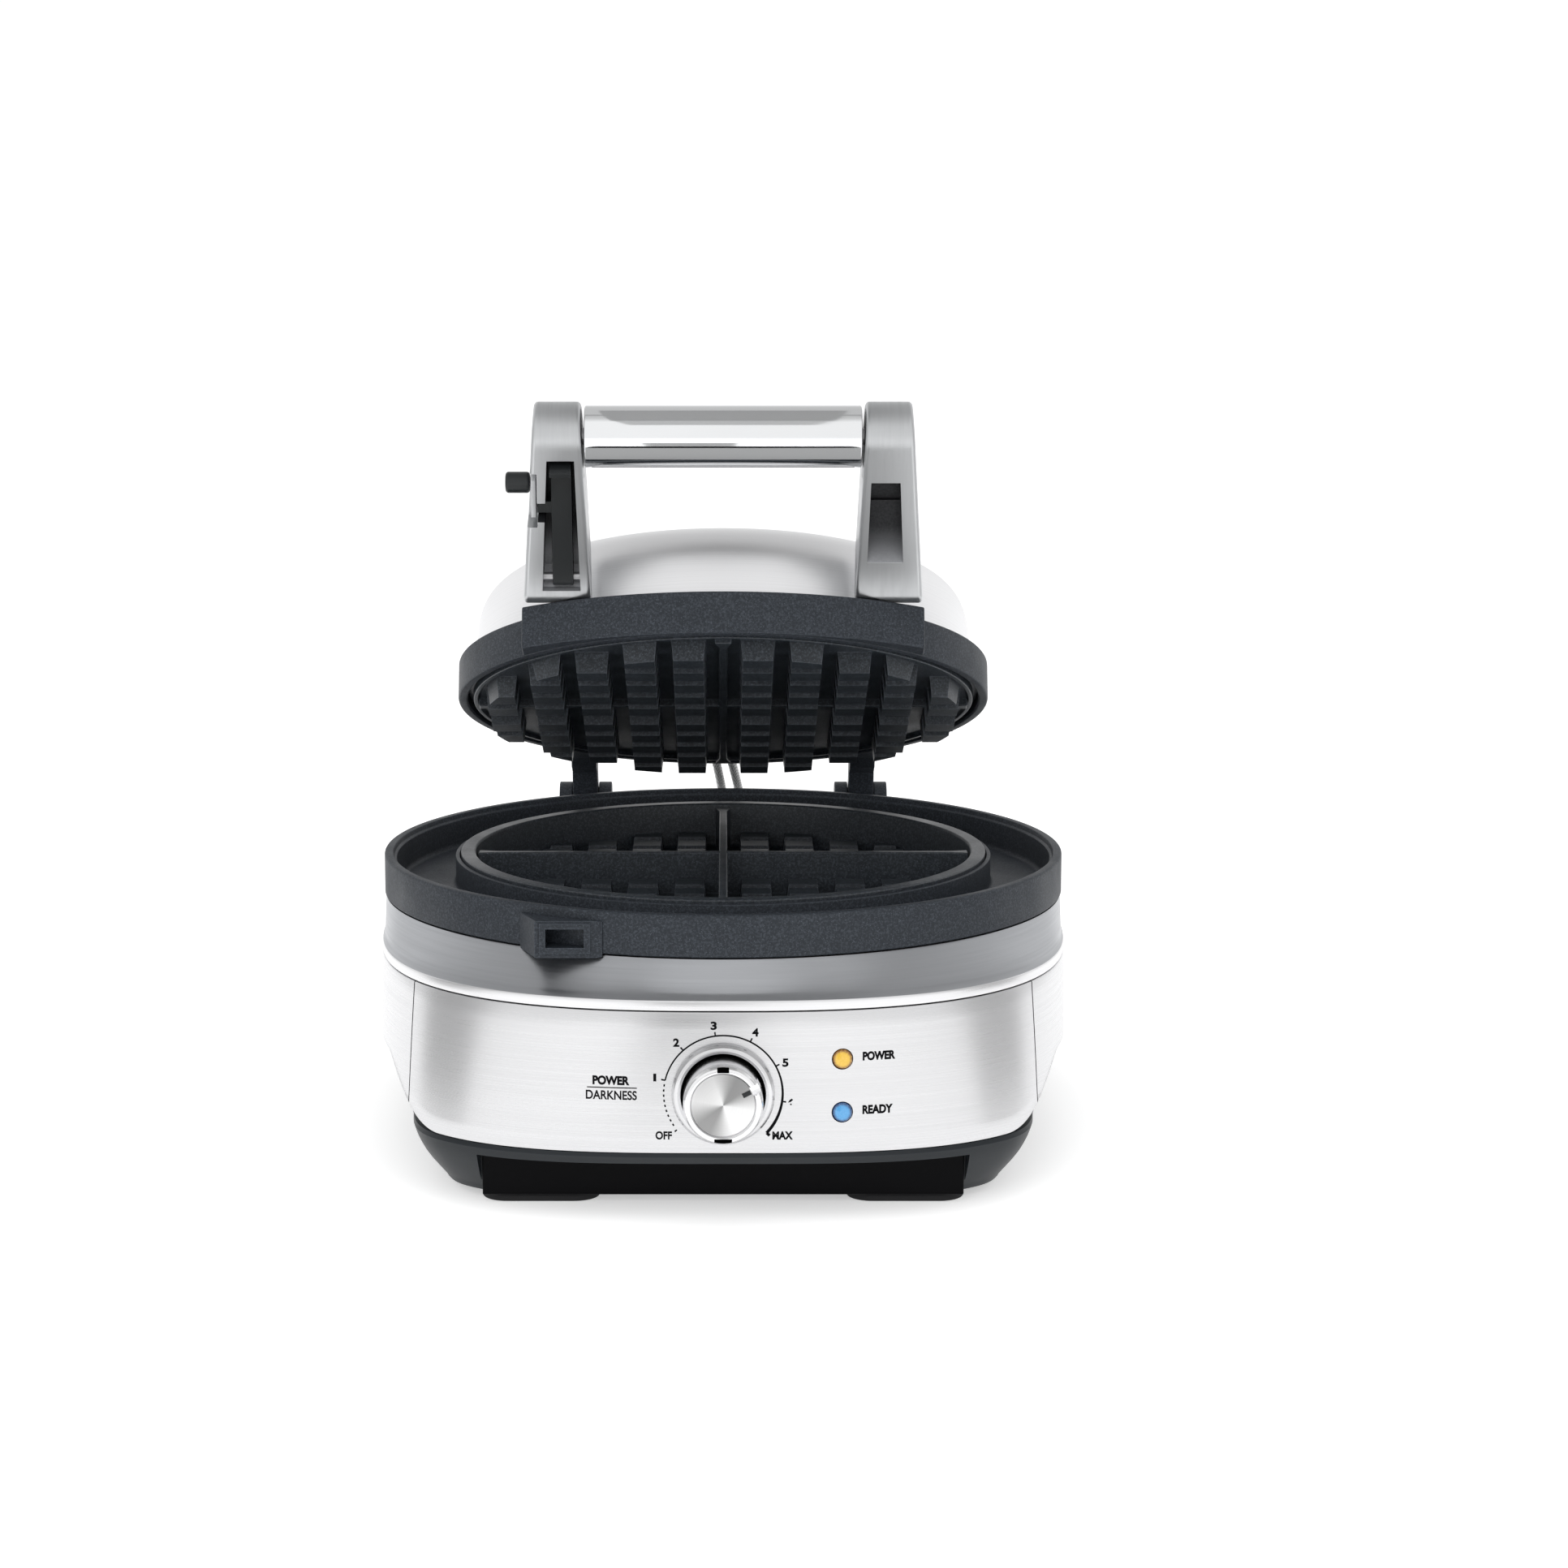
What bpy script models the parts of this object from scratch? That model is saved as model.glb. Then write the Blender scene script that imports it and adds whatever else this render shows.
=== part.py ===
"""Round electric waffle maker with a hinged lid, a fold-down lid latch and a turning power dial.

Written in millimetres and stored in metres. X is to the right, Y to the back, Z up.
The feet stand on Z = 0 and the plates' centre is on the Z axis. Lid pieces are written as if
the lid were closed, then the lid pivot opens them. Latch pieces are written as locked, then the
latch pivot folds them up into the left handle arm.
"""

import math

import bmesh
import bpy
from mathutils import Matrix, Vector

MM = 0.001
GAP = 0.3  # clearance left between two separate pieces

# Body
BODY_HALF_WIDTH = 125.0
BODY_FRONT = 133.0  # how far the front reaches ahead of the plates' centre
SQUARE_TOP = 2.6  # superellipse exponent of the front at the seam
SQUARE_BOTTOM = 3.1  # and at the lower edge of the steel
SQUARE_FLOOR = 5.0  # and at the floor
SQUARE_REAR = 4.5
PLAN_STEPS = 48
RIM_HEIGHT = 105.0  # top of the moat ring, where the two plates meet
SEAM_HEIGHT = 73.6
FASCIA_BOTTOM = 24.0
SIDE_ARCH = 20.0  # how much higher the steel ends at the sides
STRIP_HEIGHT = SEAM_HEIGHT + 3.8
PANEL_THICK = 1.0
PANEL_SPLIT = BODY_HALF_WIDTH - 17.0  # half width of the front fascia
FLOOR_BOTTOM = 3.0
FLOOR_THICK = 2.5
FOOT_HEIGHT = 2.7
TOE_HALF_WIDTH = 84.0
TOE_DEPTH = 24.0
TOE_HEIGHT = 19.5

# Moat ring and plates, heights counted from the rim height
RING_RADIUS = 125.0
RING_DEPTH = 14.9
RING_INNER = 97.4
RING_WALL = 5.2  # between the moat and the outside of the ring
MOAT_DEPTH = 12.4
SHOULDER_TOP = RIM_HEIGHT - RING_DEPTH - 0.5
PLATE_RADIUS = RING_INNER - 0.4
CAVITY_RADIUS = 91.1
LOWER_FLOOR = -17.5
LOWER_TIP = -11.0
UPPER_FLOOR = 1.5
UPPER_TIP = -6.2
BLOCK_PITCH = 17.2
BLOCK_START = 6.0
BLOCK_BASE = 12.3
BLOCK_TIP = 10.6
BLOCKS_PER_SIDE = 5
CROSS_RIB = 3.0

# Lid
HINGE_Y = RING_RADIUS + 8.0
BODY_REAR = HINGE_Y + 9.0
HINGE_Z = -8.0  # from the rim height
LID_OPEN_DEG = 22.9
LID_RADIUS = 98.2
LID_RING_HEIGHT = 14.0
LID_WALL = 3.5
DOME_RADIUS = LID_RADIUS - 6.7
DOME_TOP = 49.5
DOME_SIDE = 5.0  # superellipse exponents of the dome's section
DOME_CROWN = 4.0
HINGE_X = 55.5
BRACKET_FOOT = (HINGE_Y - 13.5, HINGE_Y + 5.0)
WIRE_Y = HINGE_Y - 3.0
WIRE_RADIUS = 1.8
PIN_RADIUS = 3.0
PIN_HOLE = PIN_RADIUS + 0.1
EAR_RADIUS = 9.0
BRACKET_HALF_WIDTH = 71.0
BRACKET_FRONT = LID_RADIUS + 1.5
BRACKET_BEND = 132.0
BRACKET_TOP = 15.4

# Handle, in the closed lid's frame
ARM_ANGLE = 50.0
ARM_BASE = (22.2 - LID_RADIUS, LID_RING_HEIGHT)
ARM_LENGTH = 67.0
ARM_END_RADIUS = 12.0
ARM_OUTER = (70.5, 66.0)  # distance from the middle at the foot and at the grip
ARM_INNER = (45.8, 48.6)
TUBE_RADIUS = 10.8
TUBE_BORE = TUBE_RADIUS - 1.5
ROD_RADIUS = 3.0

# Latch, in the closed lid's frame
LATCH_S = 16.0
LATCH_T = -4.0
LATCH_SWING_DEG = 86.8
LATCH_X = (-59.6, -52.4)
LATCH_THICK = 5.0
LATCH_REACH = 45.0
PEG_RADIUS = 3.7
PEG_AT = LATCH_REACH - 9.5

# Dial and lamps on the front
DIAL_HEIGHT = 45.0
KNOB_RADIUS = 13.5
KNOB_FRONT = 150.0
BEZEL_RADIUS = KNOB_RADIUS + 4.0
SHAFT_RADIUS = 3.0
LAMP_X = 40.5
LAMP_HEIGHTS = (56.5, 38.1)
LAMP_RADIUS = 3.35


# --- mesh helpers -------------------------------------------------------------------------------


def add_mesh(name, points, faces):
    mesh = bpy.data.meshes.new(name)
    mesh.from_pydata([Vector(p) * MM for p in points], [], faces)
    shape = bmesh.new()
    shape.from_mesh(mesh)
    bmesh.ops.recalc_face_normals(shape, faces=shape.faces)
    shape.to_mesh(mesh)
    shape.free()
    item = bpy.data.objects.new(name, mesh)
    bpy.context.scene.collection.objects.link(item)
    return item


def loft(name, loops):
    """Closed solid through loops of equal length, with the first and last loop capped."""
    count = len(loops[0])
    points = [p for loop in loops for p in loop]
    faces = [list(range(count)), list(range(len(points) - count, len(points)))]
    for row in range(len(loops) - 1):
        for i in range(count):
            j = (i + 1) % count
            base = row * count
            faces.append([base + i, base + j, base + count + j, base + count + i])
    return add_mesh(name, points, faces)


def prism(name, outline, low, high, axis):
    """Outline in the plane across the axis, in X, Y, Z order, carried from low to high."""
    place = {
        "X": lambda p, h: (h, p[0], p[1]),
        "Y": lambda p, h: (p[0], h, p[1]),
        "Z": lambda p, h: (p[0], p[1], h),
    }[axis]
    return loft(name, [[place(p, h) for p in outline] for h in (low, high)])


def box(name, low, high):
    outline = [(low[0], low[1]), (high[0], low[1]), (high[0], high[1]), (low[0], high[1])]
    return prism(name, outline, low[2], high[2], "Z")


def rod(name, start, end, radius, steps=24, end_radius=None):
    """Round bar, or a cone where the end radius differs."""
    start, end = Vector(start), Vector(end)
    turn = (end - start).to_track_quat("Z", "Y")
    loops = []
    for centre, r in ((start, radius), (end, end_radius or radius)):
        ring = [2 * math.pi * i / steps for i in range(steps)]
        loops.append([centre + turn @ Vector((r * math.cos(a), r * math.sin(a), 0)) for a in ring])
    return loft(name, loops)


def revolve(name, profile, steps=64, centre=(0, 0, 0), axis="Z"):
    """Solid of a closed profile of (radius, height) turned about an axis through the centre."""
    points = []
    rows = []
    for radius, height in profile:
        if radius < 1e-6:
            rows.append([len(points)] * steps)
            points.append((0, 0, height))
            continue
        rows.append(list(range(len(points), len(points) + steps)))
        for i in range(steps):
            a = 2 * math.pi * i / steps
            points.append((radius * math.cos(a), radius * math.sin(a), height))
    faces = []
    for first, second in zip(rows, rows[1:] + rows[:1]):
        for i in range(steps):
            j = (i + 1) % steps
            face = [first[i], first[j], second[j], second[i]]
            face = list(dict.fromkeys(face))
            if len(face) > 2:
                faces.append(face)
    if axis == "-Y":
        points = [(x, -h, y) for x, y, h in points]
    points = [tuple(a + b for a, b in zip(p, centre)) for p in points]
    return add_mesh(name, points, faces)


def pipe(name, path, radius, steps=8):
    """Round bar that follows a path, with its ends capped."""
    path = [Vector(p) for p in path]
    ahead = (path[1] - path[0]).normalized()
    side = ahead.orthogonal().normalized()
    loops = []
    for i, point in enumerate(path):
        before = path[max(i - 1, 0)]
        after = path[min(i + 1, len(path) - 1)]
        along = (after - before).normalized()
        side = (side - side.dot(along) * along).normalized()
        up = along.cross(side)
        ring = [2 * math.pi * k / steps for k in range(steps)]
        loops.append([point + radius * (math.cos(a) * side + math.sin(a) * up) for a in ring])
    return loft(name, loops)


def boolean(target, other, operation):
    """Cuts with, or joins, another object, which is then hidden."""
    step = target.modifiers.new(other.name, "BOOLEAN")
    step.operation = operation
    step.solver = "EXACT"
    step.object = other
    other.hide_render = True
    other.display_type = "WIRE"


def cut(target, *cutters):
    for cutter in cutters:
        boolean(target, cutter, "DIFFERENCE")


def join(target, *others):
    for other in others:
        boolean(target, other, "UNION")


def round_edges(item, width, steps=2, angle=40):
    bevel = item.modifiers.new("rounded_edges", "BEVEL")
    bevel.width = width * MM
    bevel.segments = steps
    bevel.limit_method = "ANGLE"
    bevel.angle_limit = math.radians(angle)


def arc(centre, radius, start_deg, end_deg, steps):
    """Points of an arc in a plane, both ends included."""
    turns = [math.radians(start_deg + (end_deg - start_deg) * i / steps) for i in range(steps + 1)]
    return [(centre[0] + radius * math.cos(a), centre[1] + radius * math.sin(a)) for a in turns]


# --- body plan ----------------------------------------------------------------------------------


def front_square(height):
    """Superellipse exponent of the front half at a height."""
    if height < FASCIA_BOTTOM:
        share = (FASCIA_BOTTOM - height) / FASCIA_BOTTOM
        return SQUARE_BOTTOM + (SQUARE_FLOOR - SQUARE_BOTTOM) * share
    share = min((height - FASCIA_BOTTOM) / (SEAM_HEIGHT - FASCIA_BOTTOM), 1.0)
    return SQUARE_BOTTOM + (SQUARE_TOP - SQUARE_BOTTOM) * share


def plan_point(turn, inset, height):
    """Point of the body's outline, pulled inwards by the inset, at a height."""
    front = math.sin(turn) < 0
    square = front_square(height) if front else SQUARE_REAR
    depth = BODY_FRONT if front else BODY_REAR
    x = (BODY_HALF_WIDTH - inset) * math.copysign(abs(math.cos(turn)) ** (2 / square), math.cos(turn))
    y = (depth - inset) * math.copysign(abs(math.sin(turn)) ** (2 / square), math.sin(turn))
    return (x, y, height)


def side_share(turn):
    """0 along the front and back, rising smoothly to 1 at the middle of each side."""
    y = plan_point(turn, 0, FASCIA_BOTTOM)[1]
    share = (108.0 + y) / 42.0 if y < 0 else (BODY_REAR - 2 - y) / 42.0
    share = min(max(share, 0.0), 1.0)
    return share * share * (3 - 2 * share)


def front_y(x, height):
    """Y of the fascia's outer face at a distance from the middle."""
    square = front_square(height)
    return -BODY_FRONT * (1 - (abs(x) / BODY_HALF_WIDTH) ** square) ** (1 / square)


def steel_panel(name, start, end, steps):
    """Strip of the steel wall between two turns of the plan."""
    loops = []
    for i in range(steps + 1):
        turn = start + (end - start) * i / steps
        low = FASCIA_BOTTOM + SIDE_ARCH * side_share(turn)
        high = SEAM_HEIGHT - GAP
        rows = ((0, low), (0, high), (PANEL_THICK, high), (PANEL_THICK, low))
        loops.append([plan_point(turn, inset, height) for inset, height in rows])
    return loft(name, loops)


def interpolate(table, value):
    """Straight-line lookup in a falling table of (key, result)."""
    for (key, result), (next_key, next_result) in zip(table, table[1:]):
        if value >= next_key:
            return result + (next_result - result) * (key - value) / (key - next_key)
    return table[-1][1]


FRONT_INSETS = ((50, 1.7), (23.95, 1.7), (23.7, 0.3), (22, 0.3), (13, 9.5), (3, 20))
SIDE_INSETS = ((50, 1.7), (42.5, 1.7), (37, 3.8), (30, 7), (22, 9.5), (13, 14), (3, 24))
HOUSING_LEVELS = (50, 42.5, 37, 30, 23.95, 23.7, 22, 13, 3)


def housing_loop(height, extra, front_limit=None):
    """Outline of the plastic base at a height, inset by an extra amount."""
    loop = []
    for i in range(PLAN_STEPS):
        turn = 2 * math.pi * i / PLAN_STEPS
        share = side_share(turn)
        inset = (1 - share) * interpolate(FRONT_INSETS, height)
        inset += share * interpolate(SIDE_INSETS, height)
        x, y, z = plan_point(turn, inset + extra, height)
        if front_limit is not None:
            y = max(y, front_limit)
        loop.append((x, y, z))
    return loop


# --- posing -------------------------------------------------------------------------------------


def pivot(name, place, turn_deg, parent=None):
    """Empty on a joint's axis, turned about X."""
    item = bpy.data.objects.new(name, None)
    bpy.context.scene.collection.objects.link(item)
    item.location = Vector(place) * MM
    if parent:
        item.parent = parent
        item.matrix_parent_inverse = Matrix.Translation(-Vector(parent["place"]))
    item.rotation_euler = (math.radians(turn_deg), 0, 0)
    item["place"] = Vector(place) * MM
    return item


def hang(parent, *items):
    """Hangs pieces and their cutters from a pivot."""
    for item in items:
        item.parent = parent
        item.matrix_parent_inverse = Matrix.Translation(-Vector(parent["place"]))
        for step in item.modifiers:
            if step.type == "BOOLEAN" and step.object.parent is None:
                hang(parent, step.object)


# --- base ---------------------------------------------------------------------------------------


def make_housing():
    outer = [housing_loop(height, 0) for height in HOUSING_LEVELS]
    inner = [housing_loop(height, 2.8) for height in (50, 40, 30, 23.95)]
    back_of_toe = -(BODY_FRONT - TOE_DEPTH - 5.0)
    inner += [housing_loop(height, 4.0, back_of_toe) for height in (22.5, FLOOR_BOTTOM + FLOOR_THICK)]
    housing = loft("base_housing", outer[::-1] + inner)
    toe_back = -(BODY_FRONT - TOE_DEPTH)
    outline = [(-TOE_HALF_WIDTH - 4, -150), (TOE_HALF_WIDTH + 4, -150), (TOE_HALF_WIDTH, toe_back)]
    outline.append((-TOE_HALF_WIDTH, toe_back))
    cut(housing, prism("toe_cutter", outline, -1, TOE_HEIGHT, "Z"))
    cut(housing, rod("housing_gland_cutter", (0, 120, 35), (0, 160, 35), 6.4))
    window = (-BODY_FRONT - 17, 21 - BODY_FRONT, DIAL_HEIGHT - 17, DIAL_HEIGHT + 15)
    cut(housing, box("controls_cutter", (-60, window[0], window[2]), (60, window[1], window[3])))
    low = (-TOE_HALF_WIDTH + 0.6, toe_back - 2.0, FLOOR_BOTTOM + 0.2)
    high = (TOE_HALF_WIDTH - 0.6, toe_back - GAP, TOE_HEIGHT - GAP)
    box("toe_kick_panel", low, high)


def make_feet():
    for side, sign in (("left", -1), ("right", 1)):
        for end, y in (("front", -99.5), ("rear", 96.0)):
            centre = (sign * 63.5, y)
            right = arc((centre[0] + 11.5, y), 9, -90, 90, 8)
            left = arc((centre[0] - 11.5, y), 9, 90, 270, 8)
            foot = prism(f"foot_{end}_{side}", right + left, 0, FOOT_HEIGHT, "Z")
            round_edges(foot, 0.6, 1, 60)
            screw_y = -50.0 if end == "front" else 55.0
            x = sign * 52
            rod(f"base_screw_{end}_{side}", (x, screw_y, 1.5), (x, screw_y, 2.7), 3.6, 16)


def make_panels():
    split = math.acos((PANEL_SPLIT / BODY_HALF_WIDTH) ** (SQUARE_TOP / 2))
    hair = 0.004
    fascia = steel_panel("front_fascia", math.pi + split + hair, 2 * math.pi - split - hair, 28)
    cut(fascia, rod("shaft_cutter", (0, -150, DIAL_HEIGHT), (0, -120, DIAL_HEIGHT), 5.0))
    for name, height in zip(("power", "ready"), LAMP_HEIGHTS):
        place = (LAMP_X, front_y(LAMP_X, height), height)
        low, high = (LAMP_X, -150, height), (LAMP_X, -120, height)
        cutter = rod(f"{name}_cutter", low, high, LAMP_RADIUS + GAP)
        cut(fascia, cutter)
        lens = [(0, 1.1), (1.9, 0.8), (LAMP_RADIUS, 0), (LAMP_RADIUS, -4), (0, -4)]
        revolve(f"{name}_lens", lens, 24, place, "-Y")
    rear = steel_panel("rear_panel", -split + hair, math.pi + split - hair, 36)
    cut(rear, rod("panel_gland_cutter", (0, 120, 35), (0, 160, 35), 6.4))
    gland = [(5.8, -6), (5.8, 0.3), (9, 0.3), (9, 2.6), (6.6, 3.2), (5.2, 8), (2.6, 8), (2.6, -6)]
    gland = [(radius, -height) for radius, height in gland]
    revolve("cord_gland", gland, 18, (0, BODY_REAR, 35), "-Y")
    low = (LAMP_X - 7.5, 11 - BODY_FRONT, LAMP_HEIGHTS[1] - 6.1)
    box("led_board", low, (LAMP_X + 7.5, 12.6 - BODY_FRONT, LAMP_HEIGHTS[0] + 6.5))
    low = (-16, 15 - BODY_FRONT, DIAL_HEIGHT - 17)
    box("thermostat_body", low, (16, 35 - BODY_FRONT, DIAL_HEIGHT + 17))
    box("terminal_block", (-22, 92, 6), (22, 108, 20))


def make_shoulder():
    outer = []
    inner = []
    rise = SHOULDER_TOP - STRIP_HEIGHT
    levels = [(SEAM_HEIGHT, 0), (STRIP_HEIGHT, 0), (STRIP_HEIGHT + 0.172 * rise, 0.25)]
    levels += [(STRIP_HEIGHT + 0.5 * rise, 0.65), (SHOULDER_TOP, 1)]
    for height, share in levels:
        for loops, inset in ((outer, 0.0), (inner, 2.2)):
            loop = []
            for i in range(PLAN_STEPS):
                turn = 2 * math.pi * i / PLAN_STEPS
                x, y, z = plan_point(turn, inset, height)
                radius = RING_RADIUS - 0.5 - inset
                x += share * (radius * math.cos(turn) - x)
                y += share * (radius * math.sin(turn) - y)
                loop.append((x, y, z))
            loops.append(loop)
    points = [p for loop in outer + inner[::-1] for p in loop]
    faces = []
    rows = len(outer) * 2
    for row in range(rows):
        for i in range(PLAN_STEPS):
            j = (i + 1) % PLAN_STEPS
            a, b = row * PLAN_STEPS, (row + 1) % rows * PLAN_STEPS
            faces.append([a + i, a + j, b + j, b + i])
    shoulder = add_mesh("shoulder", points, faces)
    for side, sign in (("left", -1), ("right", 1)):
        low, high = sorted((sign * (HINGE_X - 10.8), sign * (HINGE_X + 10.8)))
        front, back = BRACKET_FOOT[0] - GAP, BRACKET_FOOT[1] + GAP
        corner = (low, front, SEAM_HEIGHT - 4)
        cut(shoulder, box(f"{side}_bracket_cutter", corner, (high, back, RIM_HEIGHT - 10)))
    for x in (1.0, 8.0):
        low, high = (x, WIRE_Y, SEAM_HEIGHT - 4), (x, WIRE_Y, RIM_HEIGHT - 10)
        cut(shoulder, rod(f"wire_cutter_{x:.0f}", low, high, WIRE_RADIUS + 0.5, 16))


def make_ring():
    top = RIM_HEIGHT
    low = top - RING_DEPTH
    profile = [
        (RING_INNER, low),
        (RING_RADIUS - 0.5, low),
        (RING_RADIUS, low + 0.5),
        (RING_RADIUS, top - 0.7),
        (RING_RADIUS - 0.7, top),
        (RING_RADIUS - 3.1, top),
        (RING_RADIUS - 3.6, top - 1.6),
        (RING_RADIUS - 4.5, top - 2.2),
        (RING_RADIUS - RING_WALL, top - MOAT_DEPTH),
        (RING_INNER + 1.5, top - MOAT_DEPTH),
        (RING_INNER + 1.5, top - 1.8),
        (RING_INNER, top - 1.8),
    ]
    revolve("moat_ring", profile, 60)
    face = 5.0 - RING_RADIUS
    outline = [(-70.0, 0), (-64.0, face), (-44.0, face), (-41.0, 0)]
    clear = RING_RADIUS + GAP
    outline[0] = (-70.0, -math.sqrt(clear**2 - 70.0**2))
    outline[3] = (-41.0, -math.sqrt(clear**2 - 41.0**2))
    steps = 6
    for i in range(1, steps):
        x = -41.0 - 29.0 * i / steps
        outline.append((x, -math.sqrt(clear**2 - x**2)))
    catch = prism("catch_box", outline, top - 16.0, top - 3.2, "Z")
    cut(catch, box("catch_cutter", (-60.6, -130, top - 12.4), (-47.4, -95, top - 5.9)))


def make_hinge_brackets():
    axis = (HINGE_Y, RIM_HEIGHT + HINGE_Z)
    front, back = BRACKET_FOOT
    foot = SEAM_HEIGHT + 2.4
    outline = [(back, foot), (back, axis[1] - 12)] + arc(axis, EAR_RADIUS, -40, 180, 10)
    outline += [(front, axis[1] - 11), (front, foot)]
    for side, sign in (("left", -1), ("right", 1)):
        low, high = sorted((sign * (HINGE_X - 10.5), sign * (HINGE_X + 10.5)))
        bracket = prism(f"hinge_bracket_{side}", outline, low, high, "X")
        slot_low, slot_high = sorted((sign * (HINGE_X - 5.3), sign * (HINGE_X + 5.3)))
        low_corner = (slot_low, HINGE_Y - 23, axis[1] - 11.5)
        cut(bracket, box(f"{side}_slot_cutter", low_corner, (slot_high, HINGE_Y + 17, axis[1] + 23)))
        cutter = rod(f"{side}_ear_cutter", (sign * 40, *axis), (sign * 75, *axis), PIN_HOLE)
        cut(bracket, cutter)
        rod(f"hinge_pin_{side}", (low - 0.6, *axis), (high + 0.6, *axis), PIN_RADIUS)


# --- plates -------------------------------------------------------------------------------------


def clip_to_circle(outline, radius, steps=40):
    """Part of a convex outline inside a many-sided circle about the middle."""
    for i in range(steps):
        a = 2 * math.pi * (i + 0.5) / steps
        nx, ny = math.cos(a), math.sin(a)
        kept = []
        for (x0, y0), (x1, y1) in zip(outline, outline[1:] + outline[:1]):
            d0 = x0 * nx + y0 * ny - radius
            d1 = x1 * nx + y1 * ny - radius
            if d0 <= 0:
                kept.append((x0, y0))
            if d0 * d1 < 0:
                share = d0 / (d0 - d1)
                kept.append((x0 + share * (x1 - x0), y0 + share * (y1 - y0)))
        outline = kept
        if len(outline) < 3:
            return []
    return outline


def area(outline):
    pairs = zip(outline, outline[1:] + outline[:1])
    return abs(sum(x0 * y1 - x1 * y0 for (x0, y0), (x1, y1) in pairs)) / 2


def grid_blocks(name, root, tip):
    """All the tapered blocks of a plate, clipped to its round cavity, as one mesh of many shells."""
    shape = bmesh.new()
    starts = [BLOCK_START + BLOCK_PITCH * i for i in range(BLOCKS_PER_SIDE)]
    middles = [start + BLOCK_BASE / 2 for start in starts]
    middles = [-m for m in reversed(middles)] + middles
    for cx in middles:
        for cy in middles:
            corners = []
            for size, height, reach in ((BLOCK_BASE, root, 0.4), (BLOCK_TIP, tip, 1.6)):
                h = size / 2
                square = [(cx - h, cy - h), (cx + h, cy - h), (cx + h, cy + h), (cx - h, cy + h)]
                piece = clip_to_circle(square, CAVITY_RADIUS - 1.0 - reach)
                corners.append([(x, y, height) for x, y in piece])
                room = area(piece) if piece else 0.0
            if room < 12.0:
                continue
            verts = [shape.verts.new(Vector(p) * MM) for p in corners[0] + corners[1]]
            made = bmesh.ops.convex_hull(shape, input=verts)
            loose = [v for v in made["geom_interior"] if isinstance(v, bmesh.types.BMVert)]
            bmesh.ops.delete(shape, geom=loose, context="VERTS")
    bmesh.ops.recalc_face_normals(shape, faces=shape.faces)
    mesh = bpy.data.meshes.new(name)
    shape.to_mesh(mesh)
    shape.free()
    item = bpy.data.objects.new(name, mesh)
    bpy.context.scene.collection.objects.link(item)
    return item


def cross_ribs(name, low, high):
    """Plus-shaped rib that divides a plate into quarters."""
    h, r, flare = CROSS_RIB / 2, CAVITY_RADIUS - 0.4, CROSS_RIB
    arm = [(h, -h), (r - 7, -h), (r, -flare), (r, flare), (r - 7, h)]
    outline = []
    for quarter in range(4):
        c, s = ((1, 0), (0, 1), (-1, 0), (0, -1))[quarter]
        outline += [(c * x - s * y, s * x + c * y) for x, y in arm]
    return prism(name, outline, low, high, "Z")


def make_lower_plate():
    top = RIM_HEIGHT
    base = top + LOWER_FLOOR
    profile = [
        (0, base - 3),
        (PLATE_RADIUS, base - 3),
        (PLATE_RADIUS, top - 1.0),
        (PLATE_RADIUS - 0.6, top - 0.4),
        (CAVITY_RADIUS + 0.8, top - 0.4),
        (CAVITY_RADIUS, top - 1.2),
        (CAVITY_RADIUS - 1.0, base),
        (0, base),
    ]
    plate = revolve("lower_plate", profile, 48)
    join(plate, grid_blocks("lower_blocks", base - 0.8, top + LOWER_TIP))
    join(plate, cross_ribs("lower_ribs", base - 0.9, top - 2.0))


def make_lower_inside():
    element_path("lower_element", RIM_HEIGHT + LOWER_FLOOR - 3 - GAP - 3.3, 90)
    z = RIM_HEIGHT - 32
    pan = [(0, z), (88, z), (94, z + 5), (95, z + 5), (88.6, z - 0.8), (0, z - 0.8)]
    revolve("lower_reflector", pan, 32)


def element_path(name, height, leg_end):
    """Round heating element with two legs to the back."""
    ring = arc((0, 0), 62, 98.5, 441.5, 20)
    path = [(ring[0][0], leg_end)] + ring + [(ring[-1][0], leg_end)]
    return pipe(name, [(x, y, height) for x, y in path], 3.3, 6)


# --- dial ---------------------------------------------------------------------------------------


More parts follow.
